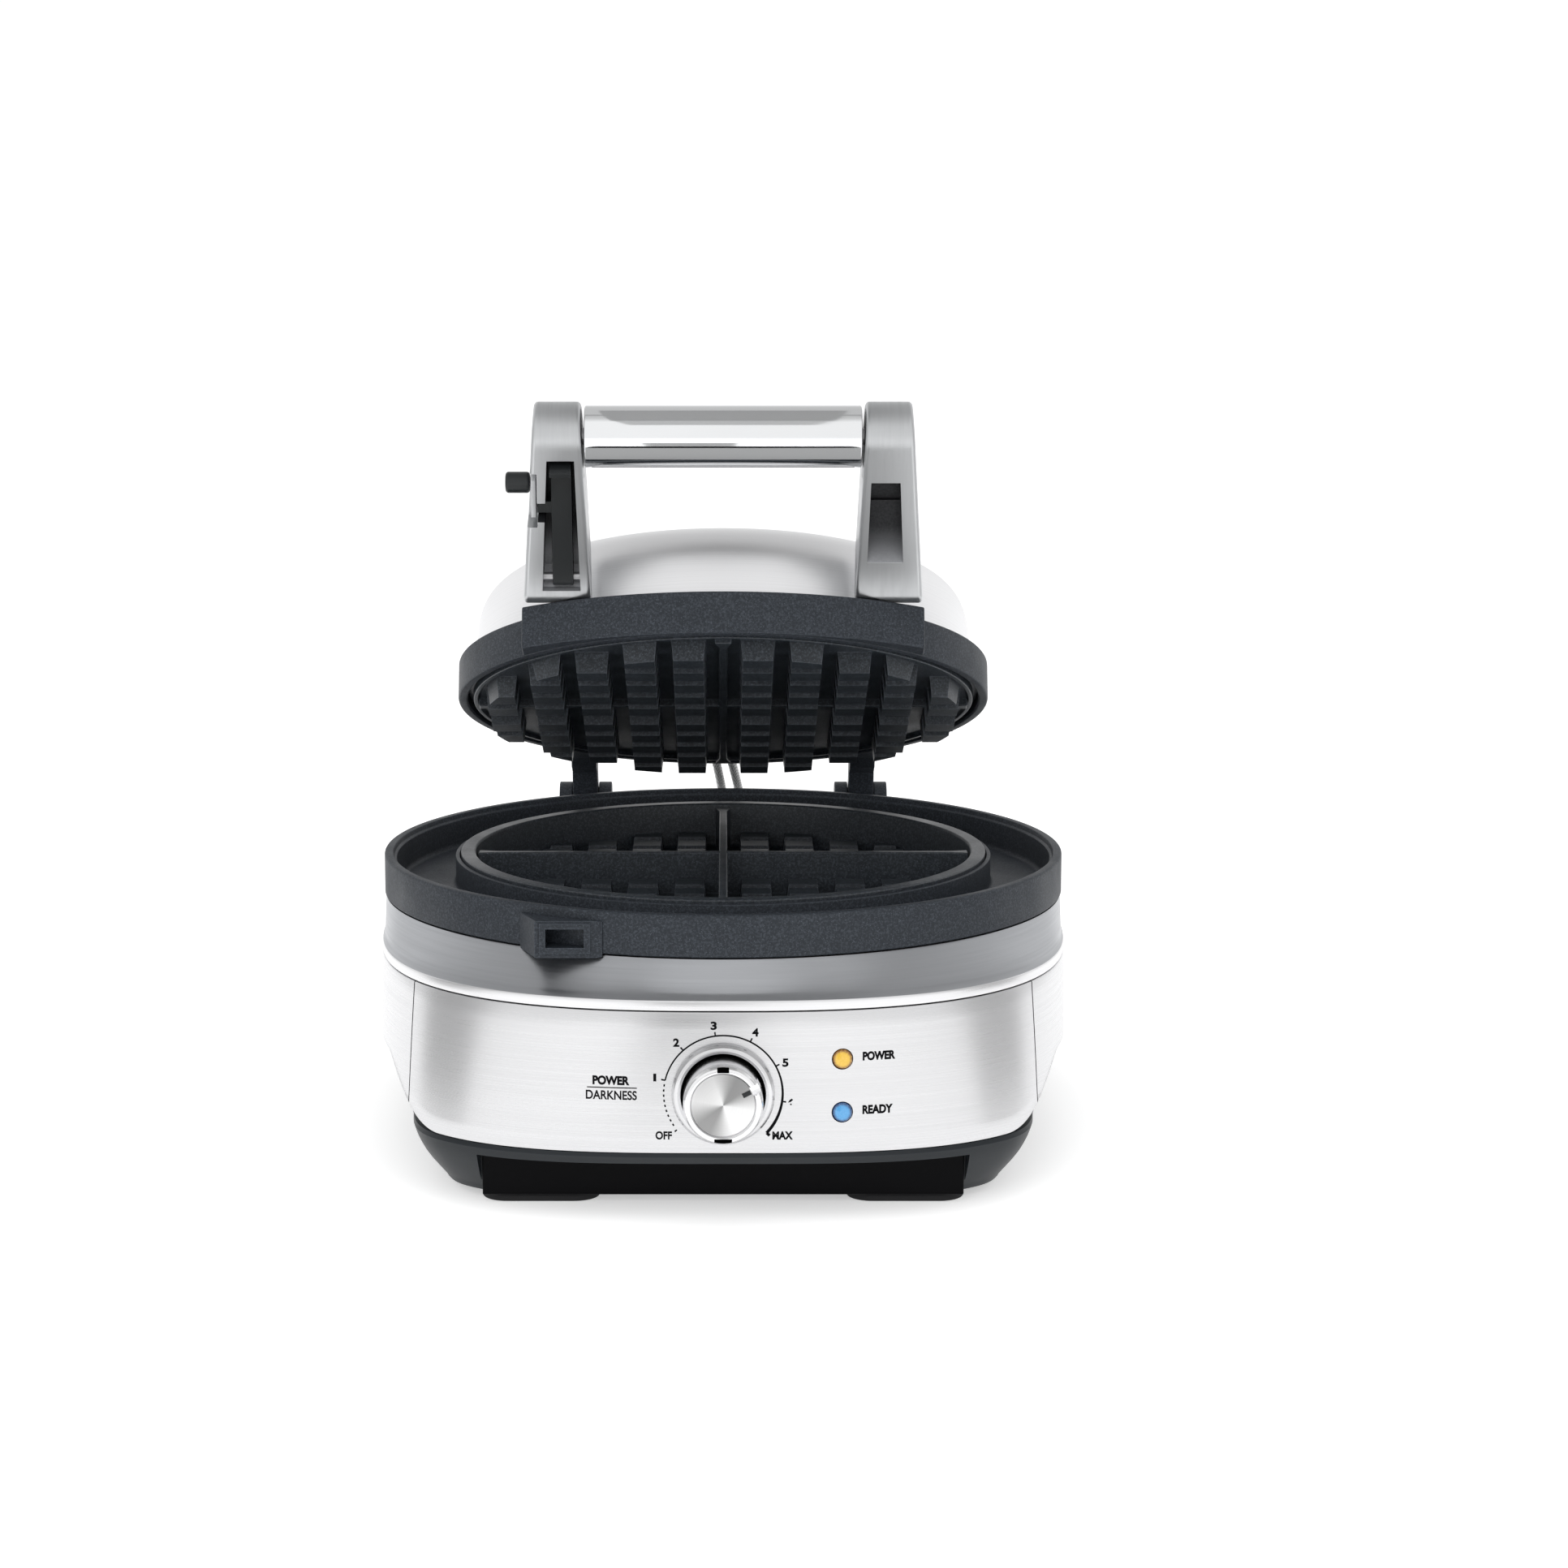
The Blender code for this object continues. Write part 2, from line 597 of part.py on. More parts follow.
def make_dial():
    face = BODY_FRONT + GAP
    centre = (0, 0, DIAL_HEIGHT)
    bezel = [
        (6.0, face),
        (BEZEL_RADIUS, face),
        (BEZEL_RADIUS, face + 1.2),
        (BEZEL_RADIUS - 0.9, face + 2.8),
        (BEZEL_RADIUS - 2.0, face + 3.2),
        (KNOB_RADIUS + 0.9, face + 2.4),
        (KNOB_RADIUS + 0.7, face + 0.9),
        (6.0, face + 0.9),
    ]
    revolve("dial_bezel", bezel, 36, centre, "-Y")
    back = face + 1.5
    knob = [
        (0, back + 9),
        (SHAFT_RADIUS + 0.3, back + 9),
        (SHAFT_RADIUS + 0.3, back),
        (KNOB_RADIUS, back),
        (KNOB_RADIUS, KNOB_FRONT - 1.6),
        (KNOB_RADIUS - 0.7, KNOB_FRONT - 0.4),
        (KNOB_RADIUS - 1.5, KNOB_FRONT),
        (KNOB_RADIUS - 2.2, KNOB_FRONT),
        (KNOB_RADIUS - 2.8, KNOB_FRONT - 0.9),
        (0, KNOB_FRONT - 1.2),
    ]
    dial = pivot("dial_pivot", (0, -KNOB_FRONT, DIAL_HEIGHT), 0)
    item = revolve("dial_knob", knob, 36, centre, "-Y")
    low = (-2, -KNOB_FRONT - 1, KNOB_RADIUS - 2.1)
    notch = box("knob_notch_cutter", low, (2, 4 - KNOB_FRONT, KNOB_RADIUS + 1.5))
    notch.matrix_world = Matrix.Translation((0, 0, DIAL_HEIGHT * MM))
    notch.matrix_world @= Matrix.Rotation(math.radians(27 - 90), 4, (0, -1, 0))
    cut(item, notch)
    reach = -(face + 1.5 + 9 - GAP)
    tip = 15 - BODY_FRONT - GAP
    shaft = rod("dial_shaft", (0, reach, DIAL_HEIGHT), (0, tip, DIAL_HEIGHT), SHAFT_RADIUS)
    for piece in (item, shaft):
        hang(dial, piece)


# --- lid ----------------------------------------------------------------------------------------


def dome_section(edge, low, crown):
    """Half section of the dome, from its edge up to its middle."""
    section = []
    for degrees in (0, 5, 16, 30, 45, 62, 90):
        a = math.radians(degrees)
        radius = edge * math.cos(a) ** (2 / DOME_SIDE) if degrees < 90 else 0.0
        section.append((radius, low + (crown - low) * math.sin(a) ** (2 / DOME_CROWN)))
    return section


def make_lid_shell(lid):
    top = RIM_HEIGHT
    low = top + GAP
    ring = [
        (LID_RADIUS - LID_WALL + 0.6, low),
        (LID_RADIUS - 0.6, low),
        (LID_RADIUS, low + 0.6),
        (LID_RADIUS, top + LID_RING_HEIGHT - 0.8),
        (LID_RADIUS - 0.8, top + LID_RING_HEIGHT),
        (LID_RADIUS - 12.2, top + LID_RING_HEIGHT),
        (LID_RADIUS - 12.2, top + LID_RING_HEIGHT - 2),
        (LID_RADIUS - LID_WALL, top + LID_RING_HEIGHT - 2),
        (LID_RADIUS - LID_WALL, low + 0.6),
    ]
    hang(lid, revolve("lid_ring", ring, 56))
    floor = top + UPPER_FLOOR
    rim = LID_RADIUS - LID_WALL - GAP
    plate = [
        (0, floor),
        (CAVITY_RADIUS - 0.9, floor),
        (CAVITY_RADIUS, low),
        (CAVITY_RADIUS + 1.5, low),
        (CAVITY_RADIUS + 1.5, top + 3.5),
        (rim, top + 3.5),
        (rim, top + 8),
        (rim - 6.4, top + 8),
        (rim - 6.4, floor + 3),
        (0, floor + 3),
    ]
    upper = revolve("upper_plate", plate, 48)
    join(upper, grid_blocks("upper_blocks", floor + 0.8, top + UPPER_TIP))
    join(upper, cross_ribs("upper_ribs", top - 1.2, floor + 0.9))
    hang(lid, upper)
    rest = top + LID_RING_HEIGHT + GAP
    crown = top + DOME_TOP
    edge = DOME_RADIUS
    outer = dome_section(edge, rest, crown)
    inner = dome_section(edge - 1.0, rest, crown - 1.0)
    hang(lid, revolve("lid_dome", outer + inner[::-1], 44))
    hang(lid, element_path("upper_element", floor + 3 + GAP + 3.3, 84))
    z = top + 17
    shield = [(0, z), (80, z), (84.5, z - 2.5), (85, z - 2), (80.4, z + 0.8), (0, z + 0.8)]
    hang(lid, revolve("upper_reflector", shield, 32))
    hang(lid, rod("thermal_fuse", (0, 28, z + 1.1), (0, 28, z + 6), 8, 20))


def make_handle_bracket(lid):
    front = []
    for i in range(17):
        x = -BRACKET_HALF_WIDTH + 2 * BRACKET_HALF_WIDTH * i / 16
        front.append((x, BRACKET_BEND - BRACKET_FRONT - math.sqrt(BRACKET_BEND**2 - x**2)))
    inner = []
    for i in range(17):
        x = BRACKET_HALF_WIDTH - 2 * BRACKET_HALF_WIDTH * i / 16
        inner.append((x, -math.sqrt((LID_RADIUS + GAP) ** 2 - x**2)))
    bracket = prism("handle_bracket", front + inner, RIM_HEIGHT + GAP, RIM_HEIGHT + BRACKET_TOP, "Z")
    hang(lid, bracket)


def arm_point(s, t):
    """Point of a handle arm, s along it and t towards its back, as (Y, Z)."""
    a = math.radians(ARM_ANGLE)
    y = ARM_BASE[0] - s * math.cos(a) + t * math.sin(a)
    z = ARM_BASE[1] + s * math.sin(a) + t * math.cos(a)
    return (y, z + RIM_HEIGHT)


def taper(item, sign, at_foot, at_grip, inner_foot, inner_grip):
    """Moves the two ends of an X prism so that its sides lean from the foot to the grip."""
    a = math.radians(ARM_ANGLE)
    for vertex in item.data.vertices:
        y = vertex.co.y / MM - ARM_BASE[0]
        z = vertex.co.z / MM - ARM_BASE[1] - RIM_HEIGHT
        share = (-y * math.cos(a) + z * math.sin(a)) / ARM_LENGTH
        outer = abs(vertex.co.x / MM) > 56
        foot, grip = (at_foot, at_grip) if outer else (inner_foot, inner_grip)
        vertex.co.x = sign * (foot + (grip - foot) * share) * MM


def arm_cutter(name, sign, outline, foot, grip):
    item = prism(name, [arm_point(s, t) for s, t in outline], sign * 50, sign * 62, "X")
    taper(item, sign, foot[0], grip[0], foot[1], grip[1])
    return item


def make_arm(lid, side, sign):
    centre = arm_point(ARM_LENGTH, 0)
    foot = RIM_HEIGHT + BRACKET_TOP + GAP
    front_foot = (ARM_BASE[0] - 12.0, foot)
    back_foot = (ARM_BASE[0] - 6.0, foot)
    round_end = arc(centre, ARM_END_RADIUS, 180 + ARM_ANGLE - 5, ARM_ANGLE - 5, 12)
    neck = [(ARM_BASE[0] - 4.0, RIM_HEIGHT + 36.0), (ARM_BASE[0] - 6.0, RIM_HEIGHT + 26.0)]
    outline = [front_foot] + round_end + neck + [back_foot]
    arm = prism(f"arm_{side}", outline, sign * 50, sign * 62, "X")
    taper(arm, sign, ARM_OUTER[0], ARM_OUTER[1], ARM_INNER[0], ARM_INNER[1])
    round_edges(arm, 1.2, 2, 35)
    front = -16.0
    if side == "left":
        channel = [(13.2, front), (62.3, front), (62.3, 2.0), (18.0, 2.0), (11.6, -3.4)]
        cut(arm, arm_cutter("left_channel_cutter", sign, channel, (63.8, 49.6), (60.4, 51.4)))
        notch = [(38.2, front), (46.2, front), (46.2, 0.0), (40.5, 0.0)]
        cutter = prism("notch_cutter", [arm_point(s, t) for s, t in notch], -75, -58, "X")
        cut(arm, cutter)
        recess = [(37.0, front), (57.4, front), (57.4, 1.4), (37.0, 1.4)]
        cutter = prism("recess_cutter", [arm_point(s, t) for s, t in recess], -75, -64.3, "X")
        cut(arm, cutter)
        pin = arm_point(LATCH_S, LATCH_T)
        cut(arm, rod("latch_pin_cutter", (-66.6, *pin), (-48.0, *pin), 1.8, 20))
    else:
        channel = [(16.0, front), (54.0, front), (54.0, -1.0), (44.5, -1.0), (44.5, -3.0), (30.0, -3.0)]
        cut(arm, arm_cutter("right_channel_cutter", sign, channel, (63.8, 49.6), (60.4, 51.4)))
    low, high = (sign * 40, *centre), (sign * 60.3, *centre)
    cut(arm, rod(f"{side}_rod_cutter", low, high, ROD_RADIUS + GAP, 20))
    hang(lid, arm)


def make_handle(lid):
    make_handle_bracket(lid)
    make_arm(lid, "left", -1)
    make_arm(lid, "right", 1)
    centre = arm_point(ARM_LENGTH, 0)
    lean = (ARM_INNER[1] - ARM_INNER[0]) * ARM_END_RADIUS / ARM_LENGTH
    half = ARM_INNER[1] - lean - GAP
    tube = rod("handle_tube", (-half, *centre), (half, *centre), TUBE_RADIUS, 28)
    cut(tube, rod("tube_cutter", (-60, *centre), (60, *centre), TUBE_BORE, 28))
    bolt = rod("handle_rod", (-60, *centre), (60, *centre), ROD_RADIUS, 20)
    hang(lid, tube, bolt)


def make_hinge_arms(lid):
    axis = (HINGE_Y, RIM_HEIGHT + HINGE_Z)
    top = RIM_HEIGHT
    outline = [(70, top + 4), (70, top + 18.5), (104, top + 18.5), (113, top + 15)]
    outline += arc(axis, 7.5, 62, -118, 9)
    outline += [(116.5, top + 1.2), (108, top + 1.2), (104, top + 4)]
    for side, sign in (("left", -1), ("right", 1)):
        low, high = sorted((sign * (HINGE_X - 5.0), sign * (HINGE_X + 5.0)))
        arm = prism(f"hinge_arm_{side}", outline, low, high, "X")
        seat = LID_RING_HEIGHT + top + GAP
        reach = LID_RADIUS + GAP
        clear = [(0, top - 20), (reach, top - 20), (reach, seat), (DOME_RADIUS + 0.5, seat)]
        clear += [(DOME_RADIUS + 0.5, top + 60), (0, top + 60)]
        cut(arm, revolve(f"{side}_lid_cutter", clear, 56))
        cut(arm, rod(f"{side}_arm_pin_cutter", (sign * 40, *axis), (sign * 75, *axis), PIN_HOLE))
        hang(lid, arm)


def make_latch(lid):
    place = arm_point(LATCH_S, LATCH_T)
    locked = math.radians(180 - ARM_ANGLE + LATCH_SWING_DEG)
    along = (math.cos(locked), math.sin(locked))
    ahead = (-along[1], along[0])

    def spot(u, v):
        y = place[0] + u * along[0] + v * ahead[0]
        return (y, place[1] + u * along[1] + v * ahead[1])

    latch = pivot("latch_pivot", (0, *place), -LATCH_SWING_DEG, lid)
    h = LATCH_THICK / 2
    reach = LATCH_REACH
    outline = [(0, -h - 0.4), (reach - 1.0, -h), (reach, -h + 1.0), (reach + 0.6, 4.2)]
    outline += [(reach - 1.6, 11.6), (reach - 3.4, 11.0), (reach - 1.8, h + 2.1)]
    outline += [(reach - 4.6, h), (0, h + 0.4), (-2.4, h - 0.4), (-3.2, 0), (-2.4, -h + 0.4)]
    lever = prism("latch_lever", [spot(u, v) for u, v in outline], LATCH_X[0], LATCH_X[1], "X")
    tab = [spot(u, v) for u, v in ((25.0, -2.2), (29.2, -2.2), (29.2, 2.2), (25.0, 2.2))]
    join(lever, prism("latch_tab", tab, -64.4, LATCH_X[0] + 1.0, "X"))
    cut(lever, rod("lever_pin_cutter", (-70, *place), (-40, *place), 1.8, 20))
    near, far = reach - 7.5, reach - 4.8
    plate = [(23.6, -3.6), (near, -3.6), (far, -1.4), (far, 1.4), (near, 3.6), (23.6, 3.6)]
    cover = prism("latch_plate", [spot(u, v) for u, v in plate], -66.6, -64.7, "X")
    peg_at = spot(PEG_AT, 0)
    peg = rod("latch_peg", (-66.9, *peg_at), (-75.4, *peg_at), PEG_RADIUS, 16)
    round_edges(peg, 1.1, 2, 60)
    hang(latch, lever, cover, peg)
    pin = rod("latch_pin", (-66.0, *place), (-48.6, *place), 1.5, 20)
    hang(lid, pin)


def make_wires():
    start = Vector((0, LID_RADIUS + 0.7 - HINGE_Y, 8 - HINGE_Z))
    start = Matrix.Rotation(math.radians(-LID_OPEN_DEG), 3, "X") @ start
    start += Vector((0, HINGE_Y, RIM_HEIGHT + HINGE_Z))
    for side, x0, x1 in (("left", -4.0, 1.0), ("right", 2.0, 8.0)):
        path = [(x0, start.y, start.z)]
        run = WIRE_Y - start.y
        path.append((x0, start.y + 0.225 * run, start.z - 2.5))
        path.append((x0 + 0.3 * (x1 - x0), start.y + 0.595 * run, RIM_HEIGHT + 10))
        path.append((x0 + 0.7 * (x1 - x0), start.y + 0.887 * run, RIM_HEIGHT - 1))
        path.append((x1, WIRE_Y, RIM_HEIGHT - 11))
        path.append((x1, WIRE_Y, SEAM_HEIGHT + 2.4))
        pipe(f"lid_wire_{side}", path, WIRE_RADIUS, 8)


# --- materials ----------------------------------------------------------------------------------

FINISHES = {
    "brushed_steel": ((0.62, 0.62, 0.63, 1), 1.0, 0.32),
    "chrome": ((0.75, 0.75, 0.77, 1), 1.0, 0.12),
    "satin_grey": ((0.42, 0.43, 0.45, 1), 0.7, 0.45),
    "cast_dark": ((0.045, 0.05, 0.058, 1), 0.0, 0.55),
    "plate_coating": ((0.012, 0.012, 0.014, 1), 0.0, 0.42),
    "dark_plastic": ((0.035, 0.04, 0.046, 1), 0.0, 0.45),
    "gloss_black": ((0.006, 0.006, 0.008, 1), 0.0, 0.15),
    "rubber": ((0.02, 0.02, 0.02, 1), 0.0, 0.8),
    "inner_steel": ((0.5, 0.5, 0.5, 1), 1.0, 0.4),
    "board": ((0.03, 0.16, 0.07, 1), 0.0, 0.5),
    "amber": ((0.9, 0.55, 0.08, 1), 0.0, 0.2),
    "blue": ((0.12, 0.4, 0.85, 1), 0.0, 0.2),
    "silver_sleeve": ((0.6, 0.6, 0.6, 1), 0.4, 0.5),
}

PIECE_FINISH = {
    "base_housing": "dark_plastic",
    "toe_kick_panel": "gloss_black",
    "front_fascia": "brushed_steel",
    "rear_panel": "brushed_steel",
    "shoulder": "satin_grey",
    "moat_ring": "cast_dark",
    "catch_box": "cast_dark",
    "lower_plate": "plate_coating",
    "upper_plate": "plate_coating",
    "hinge_bracket": "cast_dark",
    "hinge_pin": "inner_steel",
    "lower_element": "inner_steel",
    "upper_element": "inner_steel",
    "lower_reflector": "inner_steel",
    "upper_reflector": "inner_steel",
    "thermal_fuse": "inner_steel",
    "thermostat_body": "dark_plastic",
    "terminal_block": "dark_plastic",
    "led_board": "board",
    "foot": "rubber",
    "base_screw": "inner_steel",
    "cord_gland": "rubber",
    "dial_bezel": "brushed_steel",
    "dial_knob": "chrome",
    "dial_shaft": "inner_steel",
    "power_lens": "amber",
    "ready_lens": "blue",
    "lid_ring": "cast_dark",
    "lid_dome": "brushed_steel",
    "lid_wire": "silver_sleeve",
    "handle_bracket": "cast_dark",
    "handle_tube": "chrome",
    "handle_rod": "inner_steel",
    "arm": "satin_grey",
    "hinge_arm": "cast_dark",
    "latch_lever": "dark_plastic",
    "latch_peg": "dark_plastic",
    "latch_plate": "satin_grey",
    "latch_pin": "inner_steel",
}


def paint():
    """Gives each piece a material of its own, found by the longest matching start of its name."""
    for item in bpy.data.objects:
        if item.type != "MESH" or item.hide_render:
            continue
        start = max((key for key in PIECE_FINISH if item.name.startswith(key)), key=len)
        colour, metallic, roughness = FINISHES[PIECE_FINISH[start]]
        material = bpy.data.materials.new(item.name)
        material.use_nodes = True
        shader = material.node_tree.nodes["Principled BSDF"]
        shader.inputs["Base Color"].default_value = colour
        shader.inputs["Metallic"].default_value = metallic
        shader.inputs["Roughness"].default_value = roughness
        material.diffuse_color = colour
        item.data.materials.append(material)


def main():
    for item in list(bpy.data.objects):
        bpy.data.objects.remove(item)
    make_housing()
    make_feet()
    make_panels()
    make_shoulder()
    make_ring()
    make_hinge_brackets()
    make_lower_plate()
    make_lower_inside()
    make_dial()
    make_wires()
    lid = pivot("lid_pivot", (0, HINGE_Y, RIM_HEIGHT + HINGE_Z), -LID_OPEN_DEG)
    make_lid_shell(lid)
    make_handle(lid)
    make_hinge_arms(lid)
    make_latch(lid)
    paint()


main()
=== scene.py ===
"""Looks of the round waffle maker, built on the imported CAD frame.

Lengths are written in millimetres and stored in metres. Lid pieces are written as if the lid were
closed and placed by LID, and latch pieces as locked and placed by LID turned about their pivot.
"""

from math import acos, atan2, copysign, cos, pi, radians, sin, sqrt, tan, tau

import bmesh
import bpy
from mathutils import Matrix, Vector


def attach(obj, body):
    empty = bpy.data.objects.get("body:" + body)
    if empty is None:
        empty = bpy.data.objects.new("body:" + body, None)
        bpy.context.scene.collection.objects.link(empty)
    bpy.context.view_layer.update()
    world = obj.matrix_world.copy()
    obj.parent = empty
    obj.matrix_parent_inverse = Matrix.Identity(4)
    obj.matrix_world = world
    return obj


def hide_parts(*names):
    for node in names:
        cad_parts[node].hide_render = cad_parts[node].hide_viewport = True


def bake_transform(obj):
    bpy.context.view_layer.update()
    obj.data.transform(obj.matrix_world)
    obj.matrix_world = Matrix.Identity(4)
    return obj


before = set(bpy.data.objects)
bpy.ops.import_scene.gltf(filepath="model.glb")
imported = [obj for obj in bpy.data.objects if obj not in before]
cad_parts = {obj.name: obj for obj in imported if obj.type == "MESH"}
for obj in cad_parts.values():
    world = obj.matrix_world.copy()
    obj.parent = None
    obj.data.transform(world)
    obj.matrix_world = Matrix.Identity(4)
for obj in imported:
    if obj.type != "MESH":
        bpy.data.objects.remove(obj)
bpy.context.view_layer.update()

MM = 0.001
FLOOR_HALF = 9000.0

# Body
HALF_WIDTH = 125.0
FRONT = 133.0
SQUARE_TOP = 2.6
SQUARE_BOTTOM = 3.1
SQUARE_FLOOR = 5.0
SQUARE_REAR = 4.5
RIM = 105.0
SEAM = 73.6
STEEL_LOW = 24.0
SIDE_ARCH = 20.0
STRIP = SEAM + 3.8
PANEL_SPLIT = HALF_WIDTH - 17.0
TOE_HALF = 84.0
TOE_BACK = -109.0
TOE_HEIGHT = 19.5
PLAN = 256
EVEN_AT = 50.0
GLAND_Z = 35.0
GLAND_HOLE = 6.4
FOOT_LENGTH = 41.0
FOOT_ROUND = 9.0
FOOT_X = 63.5
FOOT_FRONT = -99.5
FOOT_REAR = 96.0
SCREW_X = 52.0
SCREW_FRONT = -50.0
SCREW_REAR = 55.0
BRACKET_HOLE = 21.6
BRACKET_WIDTH = 21.0
HINGE_SLOT = 10.6
HINGE_ARM = 10.0
PIN_HOLE = 3.1
LATCH_HOLE = 1.8
LATCH_PIVOT = (16.0, -4.0)
SIDES = (("left", -1), ("right", 1))

# Ring and plates
RING = 125.0
RING_LOW = 14.9
RING_INNER = 97.4
RING_WALL = 5.2
MOAT = 12.4
CAVITY = 91.1
PLATE = RING_INNER - 0.4
BLOCK_PITCH = 17.2
BLOCK_START = 6.0
BLOCK_BASE = 12.3
BLOCK_TIP = 10.6

# Lid, handle and latch
AXIS = (RING + 8.0, 97.0)
REAR = AXIS[0] + 9.0
OPEN = 22.9
LID_RADIUS = 98.2
LID_TOP = 14.0
DOME = LID_RADIUS - 6.7
DOME_TOP = 49.5
HINGE_X = 55.5
BRACKET_HALF = 71.0
BRACKET_FRONT = LID_RADIUS + 1.5
BRACKET_BEND = 132.0
BRACKET_TOP = 15.4
ARM_ANGLE = 50.0
ARM_BASE = (22.2 - LID_RADIUS, LID_TOP)
ARM_LENGTH = 67.0
ARM_END = 12.0
ARM_OUTER = (70.5, 66.0)
ARM_INNER = (45.8, 48.6)
CHANNEL_OUTER = (63.8, 60.4)
CHANNEL_INNER = (49.6, 51.4)
TUBE = 10.8
LATCH_SWING = 86.8
LATCH_REACH = 45.0

# Dial and lamps
DIAL_Z = 45.0
DIAL_MARK = 27.0
SCALE = 20.2
PRINT_PROUD = 0.09
KNOB = 13.5
KNOB_FRONT = 150.0
BEZEL = KNOB + 4.0
LAMP_X = 40.5
LAMP_Z = (56.5, 38.1)
LAMP = 3.35


def turn_about(place, degrees):
    """Matrix that turns about an X-wise axis through a (Y, Z) place in millimetres."""
    spot = Vector((0, place[0], place[1])) * MM
    turn = Matrix.Rotation(radians(degrees), 4, "X")
    return Matrix.Translation(spot) @ turn @ Matrix.Translation(-spot)


def span(sign, middle, width):
    """Low and high X of a width about a middle, on the left or the right."""
    return sorted((sign * (middle - width / 2), sign * (middle + width / 2)))


LID = turn_about(AXIS, -OPEN)


# --- mesh helpers -------------------------------------------------------------------------------


def link_object(name, data):
    item = bpy.data.objects.new(name, data)
    bpy.context.scene.collection.objects.link(item)
    return item


def evaluated_mesh(item):
    """New mesh with the object's modifiers, or its curve's thickness, applied."""
    graph = bpy.context.evaluated_depsgraph_get()
    graph.update()
    return bpy.data.meshes.new_from_object(item.evaluated_get(graph))


def curve_mesh(name, curve):
    """Mesh of a curve or a text."""
    guide = link_object(name + "_guide", curve)
    bpy.context.view_layer.update()
    mesh = evaluated_mesh(guide)
    bpy.data.objects.remove(guide)
    return mesh


def add_mesh(name, points, faces):
    mesh = bpy.data.meshes.new(name)
    mesh.from_pydata([Vector(p) * MM for p in points], [], faces)
    shape = bmesh.new()
    shape.from_mesh(mesh)
    bmesh.ops.recalc_face_normals(shape, faces=shape.faces)
    shape.to_mesh(mesh)
    shape.free()
    return link_object(name, mesh)


def loft(name, loops, ring=False):
    """Skin through loops of equal length, with its ends capped or, for a ring, joined."""
    count = len(loops[0])
    points = [p for loop in loops for p in loop]
    faces = []
    if not ring:
        faces = [list(range(count)), list(range(len(points) - count, len(points)))]
    rows = len(loops) if ring else len(loops) - 1
    for row in range(rows):
        a, b = row * count, (row + 1) % len(loops) * count
        for i in range(count):
            j = (i + 1) % count
            faces.append([a + i, a + j, b + j, b + i])
    return add_mesh(name, points, faces)


def prism(name, outline, low, high, axis):
    place = {
        "X": lambda p, h: (h, p[0], p[1]),
        "Y": lambda p, h: (p[0], h, p[1]),
        "Z": lambda p, h: (p[0], p[1], h),
    }[axis]
    return loft(name, [[place(p, h) for p in outline] for h in (low, high)])


def box(name, low, high):
    outline = [(low[0], low[1]), (high[0], low[1]), (high[0], high[1]), (low[0], high[1])]
    return prism(name, outline, low[2], high[2], "Z")


def circle(radius, steps):
    turns = [tau * i / steps for i in range(steps)]
    return [(radius * cos(a), radius * sin(a)) for a in turns]


def rod(name, start, end, radius, steps=64):
    start, end = Vector(start), Vector(end)
    turn = (end - start).to_track_quat("Z", "Y")
    rim = [turn @ Vector((x, y, 0)) for x, y in circle(radius, steps)]
    return loft(name, [[centre + spoke for spoke in rim] for centre in (start, end)])


def fillet(corners, steps=4):
    """Closed outline with rounded corners, from (x, y, radius) corners."""
    outline = []
    for i, (x, y, radius) in enumerate(corners):
        here = Vector((x, y))
        if radius <= 0:
            outline.append((x, y))
            continue
        back = Vector(corners[i - 1][:2]) - here
        ahead = Vector(corners[(i + 1) % len(corners)][:2]) - here
        half = back.angle(ahead) / 2
        reach = min(radius / tan(half), 0.49 * back.length, 0.49 * ahead.length)
        radius = reach * tan(half)
        back.normalize()
        ahead.normalize()
        centre = here + (back + ahead).normalized() * (radius / sin(half))
        start = here + back * reach - centre
        end = here + ahead * reach - centre
        first = atan2(start.y, start.x)
        sweep = (atan2(end.y, end.x) - first + pi) % tau - pi
        for k in range(steps + 1):
            a = first + sweep * k / steps
            outline.append((centre.x + radius * cos(a), centre.y + radius * sin(a)))
    return outline


def revolve(name, profile, steps, centre=(0, 0, 0), axis="Z"):
    """Solid of a closed profile of (radius, height) turned about an axis through the centre."""
    points = []
    rows = []
    for radius, height in profile:
        if radius < 1e-6:
            rows.append([len(points)] * steps)
            points.append((0, 0, height))
            continue
        rows.append(list(range(len(points), len(points) + steps)))
        points += [(x, y, height) for x, y in circle(radius, steps)]
    faces = []
    for first, second in zip(rows, rows[1:] + rows[:1]):
        for i in range(steps):
            j = (i + 1) % steps
            face = list(dict.fromkeys([first[i], first[j], second[j], second[i]]))
            if len(face) > 2:
                faces.append(face)
    if axis == "-Y":
        points = [(x, -h, y) for x, y, h in points]
    return add_mesh(name, [tuple(a + b for a, b in zip(p, centre)) for p in points], faces)


def tube_along(name, path, radius):
    """Round bar that follows a smooth curve through the points of a path."""
    curve = bpy.data.curves.new(name, "CURVE")
    curve.dimensions = "3D"
    curve.bevel_depth = radius * MM
    curve.bevel_resolution = 5
    curve.use_fill_caps = True
    curve.resolution_u = 12
    spline = curve.splines.new("BEZIER")
    spline.bezier_points.add(len(path) - 1)
    for knot, place in zip(spline.bezier_points, path):
        knot.co = Vector(place) * MM
        knot.handle_left_type = "AUTO"
        knot.handle_right_type = "AUTO"
    return link_object(name, curve_mesh(name, curve))


def bevel(item, width, steps=3, angle=35):
    step = item.modifiers.new("rounded", "BEVEL")
    step.width = width * MM
    step.segments = steps
    step.limit_method = "ANGLE"
    step.angle_limit = radians(angle)


